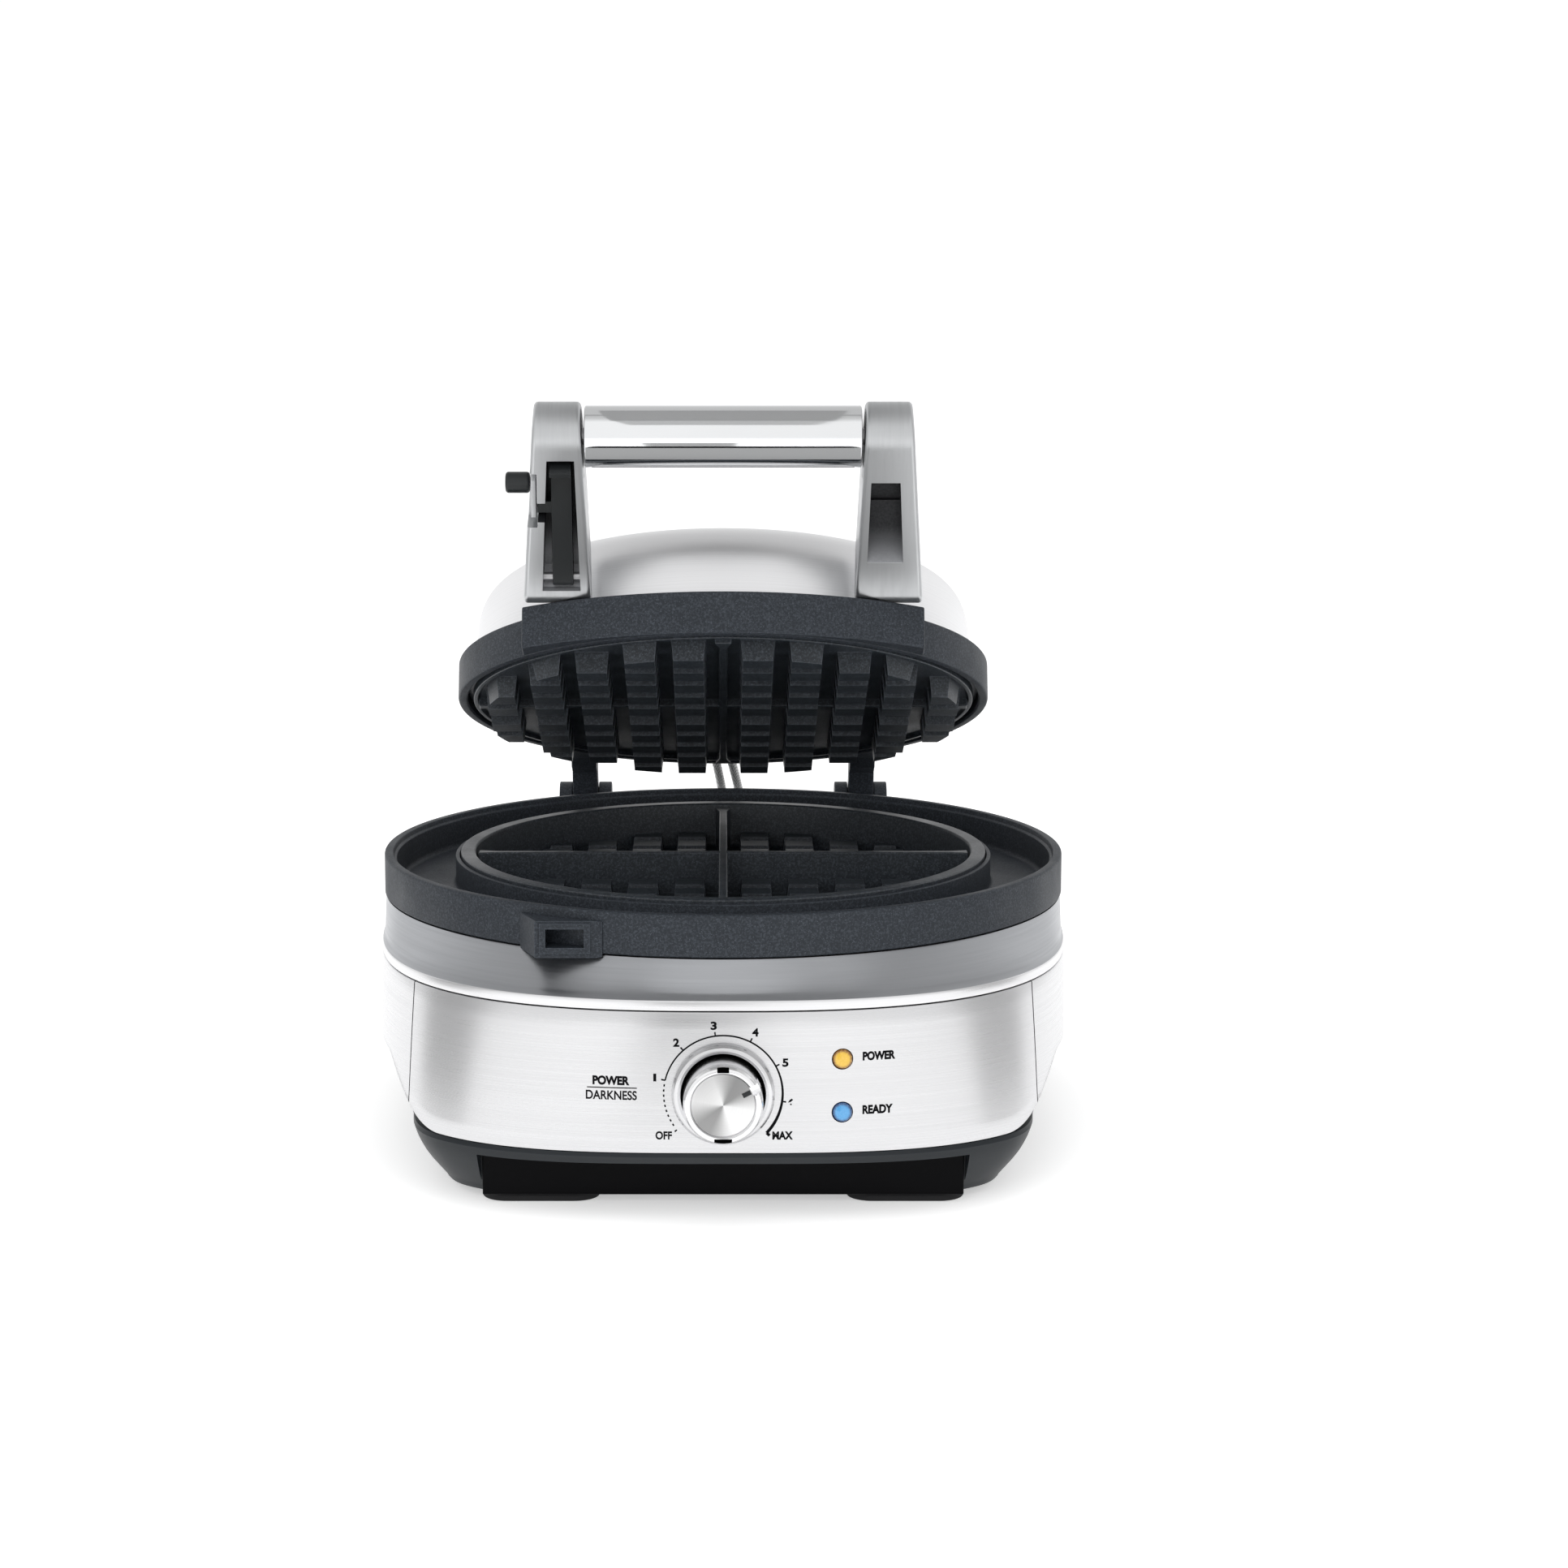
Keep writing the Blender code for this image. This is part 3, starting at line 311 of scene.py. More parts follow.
def boolean(item, other, operation="DIFFERENCE"):
    step = item.modifiers.new(other.name, "BOOLEAN")
    step.operation = operation
    step.solver = "EXACT"
    step.object = other
    if other.data.materials:
        step.material_mode = "TRANSFER"


def bake(item):
    """Puts the result of the modifiers into the mesh, and removes the cutters."""
    cutters = [step.object for step in item.modifiers if step.type == "BOOLEAN"]
    mesh = evaluated_mesh(item)
    item.modifiers.clear()
    item.data = mesh
    for cutter in cutters:
        bpy.data.objects.remove(cutter)


def shade(item, angle, weighted=False):
    item.data.polygons.foreach_set("use_smooth", [True] * len(item.data.polygons))
    item.data.set_sharp_from_angle(angle=radians(angle))
    if weighted:
        step = item.modifiers.new("even_normals", "WEIGHTED_NORMAL")
        step.keep_sharp = True


def place(item, body, slot, material, nodes=(), matrix=None, angle=35, weighted=False):
    """Finishes a piece: bakes it, shades it, paints it and hangs it on its body."""
    if any(step.type in ("BOOLEAN", "BEVEL") for step in item.modifiers):
        bake(item)
    shade(item, angle, weighted)
    if len(item.data.materials) < 2:
        item.data.materials.clear()
        item.data.materials.append(material)
    if matrix is not None:
        item.matrix_world = matrix
    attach(item, body)
    if nodes:
        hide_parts(*nodes)
    return item


def arc(centre, radius, start, end, steps):
    turns = [radians(start + (end - start) * i / steps) for i in range(steps + 1)]
    return [(centre[0] + radius * cos(a), centre[1] + radius * sin(a)) for a in turns]


# --- materials ----------------------------------------------------------------------------------


def add_node(tree, kind, *inputs, **settings):
    """New shader node. An input is a value, a socket to link from, or None to leave it alone."""
    made = tree.nodes.new("ShaderNode" + kind)
    for key, value in settings.items():
        if key in made.inputs:
            made.inputs[key].default_value = value
        else:
            setattr(made, key, value)
    for socket, value in zip(made.inputs, inputs):
        if isinstance(value, bpy.types.NodeSocket):
            tree.links.new(value, socket)
        elif value is not None:
            socket.default_value = value
    return made


def shaded(colour, share):
    return tuple(min(1.0, c * share) for c in colour)


class Paint:
    """Node material under construction."""

    def __init__(self, name, colour, metallic, roughness):
        self.material = bpy.data.materials.new(name)
        self.material.use_nodes = True
        self.tree = self.material.node_tree
        self.shader = self.tree.nodes["Principled BSDF"]
        self.colour = (*colour, 1)
        self.material.diffuse_color = self.colour
        self.constant("Base Color", self.colour)
        self.constant("Metallic", metallic)
        self.constant("Roughness", roughness)

    def constant(self, socket, value):
        self.shader.inputs[socket].default_value = value

    def node(self, kind, *inputs, **settings):
        return add_node(self.tree, kind, *inputs, **settings)

    def maths(self, operation, *inputs):
        return self.node("Math", *inputs, operation=operation).outputs[0]

    def vector(self, operation, *inputs, output="Vector"):
        return self.node("VectorMath", *inputs, operation=operation).outputs[output]

    def place(self):
        """Object coordinates, in metres."""
        return self.node("TexCoord").outputs["Object"]

    def space(self, scale):
        """Object coordinates stretched by a scale for each axis."""
        return self.node("Mapping", self.place(), Scale=scale).outputs["Vector"]

    def noise(self, scale, detail):
        made = self.node("TexNoise", self.space(scale), Scale=1.0, Detail=detail, Roughness=0.6)
        return made.outputs["Fac"]

    def cells(self, scale):
        """Distance to the nearest of scattered points."""
        made = self.node("TexVoronoi", self.space((scale,) * 3), Scale=1.0)
        return made.outputs["Distance"]

    def remap(self, value, low, high, start=0.3, end=0.7):
        return self.node("MapRange", value, start, end, low, high).outputs["Result"]

    def tint(self, factor, other, source=None):
        """Mixes the base colour towards another one."""
        mix = self.node("Mix", data_type="RGBA")
        self.tree.links.new(factor, mix.inputs[0])
        if source is None:
            mix.inputs[6].default_value = self.colour
        else:
            self.tree.links.new(source, mix.inputs[6])
        mix.inputs[7].default_value = (*other, 1)
        self.tree.links.new(mix.outputs[2], self.shader.inputs["Base Color"])
        return mix.outputs[2]

    def rough(self, value):
        self.tree.links.new(value, self.shader.inputs["Roughness"])

    def bump(self, height, strength, distance):
        made = self.node("Bump", Strength=strength, Distance=distance)
        self.tree.links.new(height, made.inputs["Height"])
        self.tree.links.new(made.outputs["Normal"], self.shader.inputs["Normal"])

    def edge_wear_and_highlight(self, source, other, strength, radius=0.6):
        """Lighter colour along sharp edges: worn coating and a painted edge highlight."""
        rounded = self.node("Bevel", radius * MM, samples=4).outputs["Normal"]
        plain = self.node("NewGeometry").outputs["Normal"]
        match = self.vector("DOT_PRODUCT", rounded, plain, output="Value")
        return self.tint(self.remap(match, strength, 0.0, 0.86, 0.995), other, source)


def brushed(name, colour, roughness, scale, depth=0.03):
    """Brushed metal whose scratches are short across and long along, by the scale of each axis."""
    paint = Paint(name, colour, 1.0, roughness)
    fine = paint.noise(scale, 4.0)
    wide = paint.noise(tuple(s * 0.22 for s in scale), 2.0)
    cloud = paint.noise((9, 9, 9), 2.0)
    darker = shaded(colour, 0.928)
    first = paint.tint(paint.remap(fine, 0.0, 0.8), darker)
    paint.tint(paint.remap(wide, 0.0, 0.3), darker, first)
    grooves = paint.remap(fine, roughness - 0.05, roughness + 0.06)
    paint.rough(paint.maths("ADD", grooves, paint.remap(cloud, -0.02, 0.03)))
    paint.bump(fine, depth, 0.00006)
    return paint.material


def cast(name, colour, speck, roughness, grain, shine):
    """Speckled powder or non-stick coating."""
    paint = Paint(name, colour, 0.0, roughness)
    specks = paint.noise((grain, grain, grain), 2.0)
    flakes = paint.cells(grain * 1.1)
    cloud = paint.noise((35, 35, 35), 3.0)
    first = paint.tint(paint.remap(specks, 0.0, 0.55, 0.45, 0.7), speck)
    second = paint.tint(paint.remap(flakes, 0.75, 0.0, 0.05, 0.24), shaded(speck, 1.7), first)
    # lighter edges: wear and a painted highlight
    paint.edge_wear_and_highlight(second, shaded(speck, 1.5), 0.35)
    paint.rough(paint.remap(cloud, roughness - 0.06, roughness + 0.08))
    paint.bump(specks, 0.3, 0.00012)
    paint.constant("Specular IOR Level", shine)
    return paint.material


def plastic(name, colour, roughness, grain=900, depth=0.12, shine=0.3):
    """Moulded plastic with a fine spark-eroded texture."""
    paint = Paint(name, colour, 0.0, roughness)
    texture = paint.noise((grain, grain, grain), 2.0)
    cloud = paint.noise((22, 22, 22), 3.0)
    first = paint.tint(paint.remap(cloud, 0.0, 0.25), shaded(colour, 1.35))
    # lighter edges: wear and a painted highlight
    paint.edge_wear_and_highlight(first, tuple(c * 2.2 + 0.01 for c in colour), 0.4, 0.5)
    paint.rough(paint.remap(cloud, roughness - 0.05, roughness + 0.07))
    paint.bump(texture, depth, 0.0001)
    paint.constant("Specular IOR Level", shine)
    return paint.material


def polished(name, colour, roughness):
    """Polished plated metal with faint smears."""
    paint = Paint(name, colour, 1.0, roughness)
    smear = paint.noise((14, 60, 60), 3.0)
    hair = paint.noise((8, 1600, 1600), 3.0)
    paint.tint(paint.remap(smear, 0.0, 0.3), shaded(colour, 0.86))
    paint.rough(paint.remap(smear, roughness, roughness + 0.05))
    paint.bump(hair, 0.04, 0.00003)
    return paint.material


def lens(name, deep, bright):
    """Moulded lamp lens: clear skin over a pebbled body that is deeper in colour at its rim."""
    paint = Paint(name, deep, 0.0, 0.12)
    facing = paint.node("SeparateXYZ", paint.node("NewGeometry").outputs["Normal"]).outputs["Y"]
    first = paint.tint(paint.remap(facing, 1.0, 0.0, -0.97, -0.86), bright)
    pale = tuple(min(1, c * 1.15 + 0.1) for c in bright)
    paint.tint(paint.remap(paint.cells(1500), 0.3, 0.0, 0.1, 0.6), pale, first)
    paint.constant("Coat Weight", 1.0)
    paint.constant("Coat Roughness", 0.05)
    paint.constant("Emission Color", (*bright, 1))
    paint.constant("Emission Strength", 0.02)
    return paint.material


def spun(name, colour, roughness, axis, centre, scale, tone, anisotropy=0.0, painted_sheen=0.0):
    """Turned metal: fine grooves in circles about an axis, "Y" or "Z", through a centre in millimetres.

    A painted sheen above zero darkens two opposite sectors and leaves two bright: a painted reflection of
    the light on a lathe-cut face, fixed to the part.
    """
    paint = Paint(name, colour, 1.0, roughness)
    offset = paint.vector("SUBTRACT", paint.place(), tuple(c * MM for c in centre))
    flat = paint.vector("MULTIPLY", offset, (1, 0, 1) if axis == "Y" else (1, 1, 0))
    radius = paint.vector("LENGTH", flat, output="Value")
    split = paint.node("SeparateXYZ", offset)
    along = paint.maths("SUBTRACT", radius, split.outputs[axis])
    rings = paint.node("TexNoise", None, along, noise_dimensions="1D", Scale=scale, Detail=3.0)
    rings = rings.outputs["Fac"]
    cloud = paint.noise((12, 12, 12), 2.0)
    first = paint.tint(paint.remap(rings, 0.0, 0.6), shaded(colour, tone))
    first = paint.tint(paint.remap(cloud, 0.0, 0.25), shaded(colour, 0.92), first)
    # painted reflection: two opposite sectors darkened by their angle about the axis
    if painted_sheen:
        turn = paint.maths("ARCTAN2", split.outputs["Z"], split.outputs["X"])
        wave = paint.maths("COSINE", paint.maths("MULTIPLY_ADD", turn, 2.0, radians(80)))
        paint.tint(paint.remap(wave, painted_sheen, 0.0, -0.9, 0.5), shaded(colour, 0.22), first)
    paint.bump(rings, 0.12, 0.00006)
    paint.constant("Anisotropic", anisotropy)
    if anisotropy:
        tangent = paint.node("Tangent", direction_type="RADIAL", axis=axis)
        paint.tree.links.new(tangent.outputs["Tangent"], paint.shader.inputs["Tangent"])
    return paint.material


def arm_channel_painted_shade(name):
    """Inside of the handle arms: painted shade, dark at the top, and painted light, lighter towards the
    foot.
    """
    paint = Paint(name, (0.012, 0.013, 0.015), 0.35, 0.42)
    a = radians(ARM_ANGLE)
    foot = (-ARM_BASE[0] * cos(a) + (ARM_BASE[1] + RIM) * sin(a)) * MM
    along = paint.vector("DOT_PRODUCT", paint.place(), (0, -cos(a), sin(a)), output="Value")
    # painted shade and light: lighter near the foot of the channel, dark further up
    share = paint.remap(along, 1.0, 0.0, foot + 0.014, foot + 0.036)
    share.node.interpolation_type = "SMOOTHSTEP"
    grain = paint.noise((1200, 1200, 1200), 2.0)
    first = paint.tint(share, (0.42, 0.43, 0.45))
    paint.tint(paint.remap(grain, 0.0, 0.2), (0.1, 0.1, 0.11), first)
    paint.bump(grain, 0.1, 0.0001)
    return paint.material


def braided(name, colour):
    """Woven silvery sleeve over a lead."""
    paint = Paint(name, colour, 0.35, 0.42)
    bands = {"wave_type": "BANDS", "bands_direction": "DIAGONAL", "Scale": 1.0, "Distortion": 0.6}
    one, other = (
        paint.node("TexWave", paint.space((700 * tilt, 500, 700)), **bands).outputs["Fac"]
        for tilt in (1, -1)
    )
    weave = paint.maths("MAXIMUM", one, other)
    paint.tint(paint.remap(weave, 0.8, 0.0, 0.2, 0.9), shaded(colour, 0.35))
    paint.bump(weave, 0.5, 0.0003)
    return paint.material


def glowing(name, grey, roughness, glow):
    """Matte paper that gives off a little light of its own."""
    paint = Paint(name, (grey, grey, grey), 0.0, roughness)
    paint.constant("Specular IOR Level", 0.0)
    paint.constant("Emission Color", (1, 1, 1, 1))
    paint.constant("Emission Strength", glow)
    return paint.material


STEEL = brushed("brushed_steel", (0.71, 0.71, 0.72), 0.28, (10, 10, 4600), 0.012)
DOME_STEEL = spun("spun_dome", (0.92, 0.92, 0.93), 0.46, "Z", (0, 0, 0), 2600.0, 0.90)
# one steel in a darker and a lighter copy: painted shade on the shoulder's slope, a painted highlight on
# its strip
SHOULDER_SHADED = brushed("satin_steel_painted_shade", (0.44, 0.45, 0.47), 0.34, (20, 20, 1500), 0.02)
STRIP_STEEL_LIT = brushed("strip_steel_painted_highlight", (0.80, 0.80, 0.81), 0.30, (14, 14, 3000))
ARM = brushed("satin_arm", (0.56, 0.57, 0.58), 0.38, (900, 60, 60), 0.05)
# arm channel colour: painted shade up top, painted light near the foot
ARM_CHANNEL_SHADE = arm_channel_painted_shade("arm_channel_painted_shade")
CHROME = polished("chrome", (0.86, 0.87, 0.88), 0.05)
BEZEL_METAL = polished("bezel_metal", (0.72, 0.72, 0.73), 0.16)
KNOB_METAL = polished("knob_metal", (0.90, 0.90, 0.91), 0.12)
# the knob face's last argument paints a reflection into two opposite sectors
KNOB_FACE = spun("knob_face", (0.86, 0.86, 0.86), 0.30, "Y", (0, 0, DIAL_Z), 5200.0, 0.8, 0.6, 0.8)
CAST = cast("cast_coating", (0.021, 0.025, 0.031), (0.066, 0.076, 0.092), 0.5, 1250, 0.22)
PLATE_COAT = cast("plate_coating", (0.015, 0.019, 0.024), (0.075, 0.088, 0.105), 0.42, 1200, 0.5)
BODY_PLASTIC = plastic("body_plastic", (0.014, 0.017, 0.020), 0.42, shine=0.25)
LATCH_PLASTIC = plastic("latch_plastic", (0.010, 0.012, 0.013), 0.36, shine=0.4)
GLOSS = plastic("gloss_black", (0.0015, 0.0015, 0.002), 0.12, 300, 0.03, 0.06)
RUBBER = plastic("rubber", (0.012, 0.012, 0.013), 0.75, 700, 0.3)
INNER_STEEL = brushed("inner_steel", (0.55, 0.55, 0.56), 0.34, (300, 300, 300))
BOARD = plastic("circuit_board", (0.02, 0.13, 0.06), 0.45)
AMBER = lens("amber_lens", (0.20, 0.070, 0.004), (0.76, 0.47, 0.035))
BLUE = lens("blue_lens", (0.004, 0.030, 0.13), (0.07, 0.33, 0.66))
SLEEVE = braided("silver_sleeve", (0.95, 0.95, 0.94))
# near-black gap colour: painted shade
GAP_SHADE = plastic("dial_gap_painted_shade", (0.001, 0.001, 0.001), 0.9, 400, 0.02, 0.0)
INK = plastic("printed_ink", (0.004, 0.004, 0.005), 0.6, 400, 0.02, 0.05)


# --- base ---------------------------------------------------------------------------------------


def front_square(height):
    if height < STEEL_LOW:
        return SQUARE_BOTTOM + (SQUARE_FLOOR - SQUARE_BOTTOM) * (STEEL_LOW - height) / STEEL_LOW
    share = min((height - STEEL_LOW) / (SEAM - STEEL_LOW), 1.0)
    return SQUARE_BOTTOM + (SQUARE_TOP - SQUARE_BOTTOM) * share


def plan_point(turn, inset, height):
    front = sin(turn) < 0
    square = front_square(height) if front else SQUARE_REAR
    depth = FRONT if front else REAR
    x = (HALF_WIDTH - inset) * copysign(abs(cos(turn)) ** (2 / square), cos(turn))
    y = (depth - inset) * copysign(abs(sin(turn)) ** (2 / square), sin(turn))
    return (x, y, height)


def even_turns(start, end, steps):
    """Turns of the plan that lie evenly along its outline."""
    fine = [start + (end - start) * i / 4000 for i in range(4001)]
    spots = [Vector(plan_point(t, 0, EVEN_AT)) for t in fine]
    lengths = [0.0]
    for a, b in zip(spots, spots[1:]):
        lengths.append(lengths[-1] + (b - a).length)
    turns = []
    k = 0
    for i in range(steps + 1):
        wanted = lengths[-1] * i / steps
        while k < 3999 and lengths[k + 1] < wanted:
            k += 1
        share = (wanted - lengths[k]) / max(lengths[k + 1] - lengths[k], 1e-9)
        turns.append(fine[k] + (fine[k + 1] - fine[k]) * share)
    return turns


PLAN_TURNS = even_turns(0, tau, PLAN)[:-1]


def side_share(turn):
    y = plan_point(turn, 0, STEEL_LOW)[1]
    share = (108.0 + y) / 42.0 if y < 0 else (REAR - 2 - y) / 42.0
    share = min(max(share, 0.0), 1.0)
    return share * share * (3 - 2 * share)


def front_y(x, height):
    square = front_square(height)
    return -FRONT * (1 - (abs(x) / HALF_WIDTH) ** square) ** (1 / square)


def steel_panel(name, start, end, steps):
    loops = []
    for turn in even_turns(start, end, steps):
        low = STEEL_LOW + SIDE_ARCH * side_share(turn)
        high = SEAM - 0.35
        rows = [(0.4, low), (0.12, low + 0.12), (0, low + 0.4)]
        rows += [(0, low + (high - low) * k / 8) for k in range(1, 8)]
        rows += [(0, high - 0.4), (0.12, high - 0.12), (0.4, high), (1.0, high), (1.0, low)]
        loops.append([plan_point(turn, inset, height) for inset, height in rows])
    return loft(name, loops)


def interpolate(table, value):
    for (key, result), (next_key, next_result) in zip(table, table[1:]):
        if value >= next_key:
            return result + (next_result - result) * (key - value) / (key - next_key)
    return table[-1][1]


FRONT_INSETS = ((50, 1.7), (23.95, 1.7), (23.7, 0.3), (22, 0.3), (13, 9.5), (3, 20))
SIDE_INSETS = ((50, 1.7), (42.5, 1.7), (37, 3.8), (30, 7), (22, 9.5), (13, 14), (3, 24))


def soft(table, value):
    """Table lookup with its corners blended over a few millimetres."""
    near = [interpolate(table, value + d) for d in (-2.4, -1.6, -0.8, 0, 0.8, 1.6, 2.4)]
    return sum(near) / len(near)


def housing_loop(height, extra, front_limit=None):
    loop = []
    for turn in PLAN_TURNS:
        share = side_share(turn)
        front = interpolate(FRONT_INSETS, height) if height > 21 else max(soft(FRONT_INSETS, height), 0.3)
        side = soft(SIDE_INSETS, height)
        x, y, z = plan_point(turn, (1 - share) * front + share * side + extra, height)
        if front_limit is not None:
            y = max(y, front_limit)
        loop.append((x, y, z))
    return loop


def make_housing():
    levels = (50, 46, 42.5, 40, 37, 34, 31, 28, 25.5, 23.95, 23.72)
    levels += (22.4, 20.8, 18.5, 16, 13.5, 11, 8.5, 6.5, 4.8, 3.8)
    outer = [housing_loop(height, 0) for height in levels]
    outer += [housing_loop(3.3, 0.25), housing_loop(3.0, 1.0)]
    inner = [housing_loop(height, 2.8) for height in (50, 40, 30, 23.95)]
    inner += [housing_loop(height, 4.0, TOE_BACK + 5.0) for height in (22.5, 5.5)]
    housing = loft("base_housing_shell", outer[::-1] + inner)
    cutter = [(-TOE_HALF - 4, -150), (TOE_HALF + 4, -150), (TOE_HALF, TOE_BACK), (-TOE_HALF, TOE_BACK)]
    toe = prism("toe_cutter", cutter, -1, TOE_HEIGHT, "Z")
    boolean(housing, toe)
    boolean(housing, rod("gland_cutter", (0, 120, GLAND_Z), (0, 160, GLAND_Z), GLAND_HOLE))
    boolean(housing, box("controls_cutter", (-60, -150, 28), (60, -112, 60)))
    place(housing, "base", "dark_plastic", BODY_PLASTIC, ["base_housing"], angle=28)
    low = (-TOE_HALF + 0.6, TOE_BACK - 2.0, 3.2)
    panel = box("toe_panel_gloss", low, (TOE_HALF - 0.6, TOE_BACK - 0.3, TOE_HEIGHT - 0.3))
    bevel(panel, 0.4)
    place(panel, "base", "gloss_black", GLOSS, ["toe_kick_panel"], weighted=True)


def make_feet():
    for side, sign in SIDES:
        for end, y, screw_y in (("front", FOOT_FRONT, SCREW_FRONT), ("rear", FOOT_REAR, SCREW_REAR)):
            x = sign * FOOT_X
            reach = FOOT_LENGTH / 2 - FOOT_ROUND
            outline = arc((x + reach, y), FOOT_ROUND, -90, 90, 24)
            outline += arc((x - reach, y), FOOT_ROUND, 90, 270, 24)
            foot = prism(f"foot_{end}_{side}_pad", outline, 0, 2.7, "Z")
            bevel(foot, 0.7, 3, 50)
            place(foot, "base", "rubber", RUBBER, [f"foot_{end}_{side}"], weighted=True)
            centre = (sign * SCREW_X, screw_y, 0)
            section = fillet([(0, 1.5, 0), (3.6, 1.5, 0.6), (3.6, 2.7, 0), (0, 2.7, 0)])
            head = revolve(f"base_screw_{end}_{side}_head", section, 40, centre)
            for k, (dx, dy) in enumerate(((2.2, 0.45), (0.45, 2.2))):
                low = (centre[0] - dx, screw_y - dy, 1.0)
                high = (centre[0] + dx, screw_y + dy, 2.2)
                boolean(head, box(f"slot_{k}", low, high))
            place(head, "base", "inner_steel", INNER_STEEL, [f"base_screw_{end}_{side}"], angle=30)


def make_panels():
    split = acos((PANEL_SPLIT / HALF_WIDTH) ** (SQUARE_TOP / 2))
    hair = 0.003
    fascia = steel_panel("front_fascia_sheet", pi + split + hair, tau - split - hair, 140)
    boolean(fascia, rod("shaft_cutter", (0, -150, DIAL_Z), (0, -120, DIAL_Z), 5.0))
    for name, height in zip(("power", "ready"), LAMP_Z):
        boolean(fascia, rod(f"{name}_cutter", (LAMP_X, -150, height), (LAMP_X, -120, height), LAMP + 0.3))
    place(fascia, "base", "steel", STEEL, ["front_fascia"], angle=30)
    rear = steel_panel("rear_panel_sheet", -split + hair, pi + split - hair, 200)
    boolean(rear, rod("panel_gland_cutter", (0, 120, GLAND_Z), (0, 160, GLAND_Z), GLAND_HOLE))
    place(rear, "base", "steel", STEEL, ["rear_panel"], angle=30)
    lamps = (("power", LAMP_Z[0], AMBER, "amber"), ("ready", LAMP_Z[1], BLUE, "blue"))
    for name, height, material, slot in lamps:
        spot = (LAMP_X, front_y(LAMP_X, height), height)
        dome = [(LAMP * sin(a), 1.1 * cos(a)) for a in [pi / 2 * k / 12 for k in range(13)]]
        body = revolve(f"{name}_lens_dome", dome + [(LAMP, -4), (0, -4)], 64, spot, "-Y")
        place(body, "base", slot, material, [f"{name}_lens"], angle=60)
    gland = [(5.8, -6, 0), (5.8, 0.3, 0.1), (9, 0.3, 0.3), (9, 2.6, 0.6)]
    gland += [(6.6, 3.2, 0.8), (5.4, 8, 0.6), (2.6, 8, 0.4), (2.6, -6, 0)]
    outline = [(r, -h) for r, h in fillet(gland)]
    body = revolve("cord_gland_collar", outline, 72, (0, REAR, GLAND_Z), "-Y")
    place(body, "base", "rubber", RUBBER, ["cord_gland"])


def make_shoulder():
    outer = []
    inner = []
    strip = ((0.0, 0.35), (0.12, 0.1), (0.4, 0.0), (2.0, 0.0), (STRIP - 1 - SEAM, 0.0))
    rows = [(SEAM + up, inset, 0.0) for up, inset in strip]
    rows += [(STRIP - 1 + sin(a), 0.8 * (1 - cos(a)), 0.0) for a in (0.4, 0.8, 1.15)]
    for k in range(1, 13):
        u = k / 12
        rows.append((STRIP + 12.2 * u, 0.8 * (1 - u), u**0.74))
    for height, inset, share in rows:
        for loops, extra in ((outer, 0.0), (inner, 2.2)):
            loop = []
            for turn in PLAN_TURNS:
                x, y, z = plan_point(turn, inset + extra, height)
                radius = RING - 0.5 - extra
                a = atan2(y, x) % tau
                a = (a + turn) / 2 if abs(a - turn) < 1 else turn
                x += share * (radius * cos(a) - x)
                y += share * (radius * sin(a) - y)
                loop.append((x, y, z))
            loops.append(loop)
    item = loft("shoulder_cover", outer + inner[::-1], ring=True)
    item.data.materials.append(SHOULDER_SHADED)
    item.data.materials.append(STRIP_STEEL_LIT)
    # faces of the low strip get the lighter copy: a painted highlight along the strip
    for face in item.data.polygons:
        if face.center.z < (STRIP - 0.2) * MM:
            face.material_index = 1
    for side, sign in SIDES:
        low, high = span(sign, HINGE_X, BRACKET_HOLE)
        boolean(item, box(f"{side}_bracket_cutter", (low, 119.2, 70), (high, 138.3, 95)))
    for x in (1.0, 8.0):
        boolean(item, rod(f"wire_cutter_{x:.0f}", (x, 130, 70), (x, 130, 95), 2.3, 32))
    place(item, "base", "satin_grey", SHOULDER_SHADED, ["shoulder"], angle=30)


def make_ring():
    low = RIM - RING_LOW
    profile = [
        (RING_INNER, low, 0.2),
        (RING - 0.5, low, 0.5),
        (RING, low + 0.5, 0.5),
        (RING, RIM, 0.9),
        (RING - 3.1, RIM, 0.5),
        (RING - 3.6, RIM - 1.6, 0.4),
        (RING - 4.5, RIM - 2.2, 0.5),
        (RING - RING_WALL, RIM - MOAT, 2.0),
        (RING_INNER + 1.5, RIM - MOAT, 1.6),
        (RING_INNER + 1.5, RIM - 1.8, 0.4),
        (RING_INNER, RIM - 1.8, 0.2),
    ]
    ring = revolve("moat_ring_cast", fillet(profile), 256)
    place(ring, "base", "cast_dark", CAST, ["moat_ring"], angle=32)
    clear = RING + 0.3
    face = -120.0
    outline = [(-64.0, face), (-44.0, face)]
    for i in range(25):
        x = -41.0 - 29.0 * i / 24
        outline.append((x, -sqrt(clear**2 - x**2)))
    catch = prism("catch_box_cast", outline, RIM - 16.0, RIM - 3.2, "Z")
    bevel(catch, 0.7, 3, 40)
    border = box("catch_border", (-66, -122, RIM - 18), (-40, face + 0.8, RIM))
    keep = box("catch_keep", (-62.6, -124, RIM - 14.4), (-45.4, face + 2, RIM - 4.0))
    boolean(border, keep)
    bake(border)
    boolean(catch, border)
    boolean(catch, box("catch_cutter", (-60.6, -130, RIM - 12.4), (-47.4, -95, RIM - 5.9)))
    bevel(catch, 0.25, 2, 50)
    place(catch, "base", "cast_dark", CAST, ["catch_box"], angle=32, weighted=True)


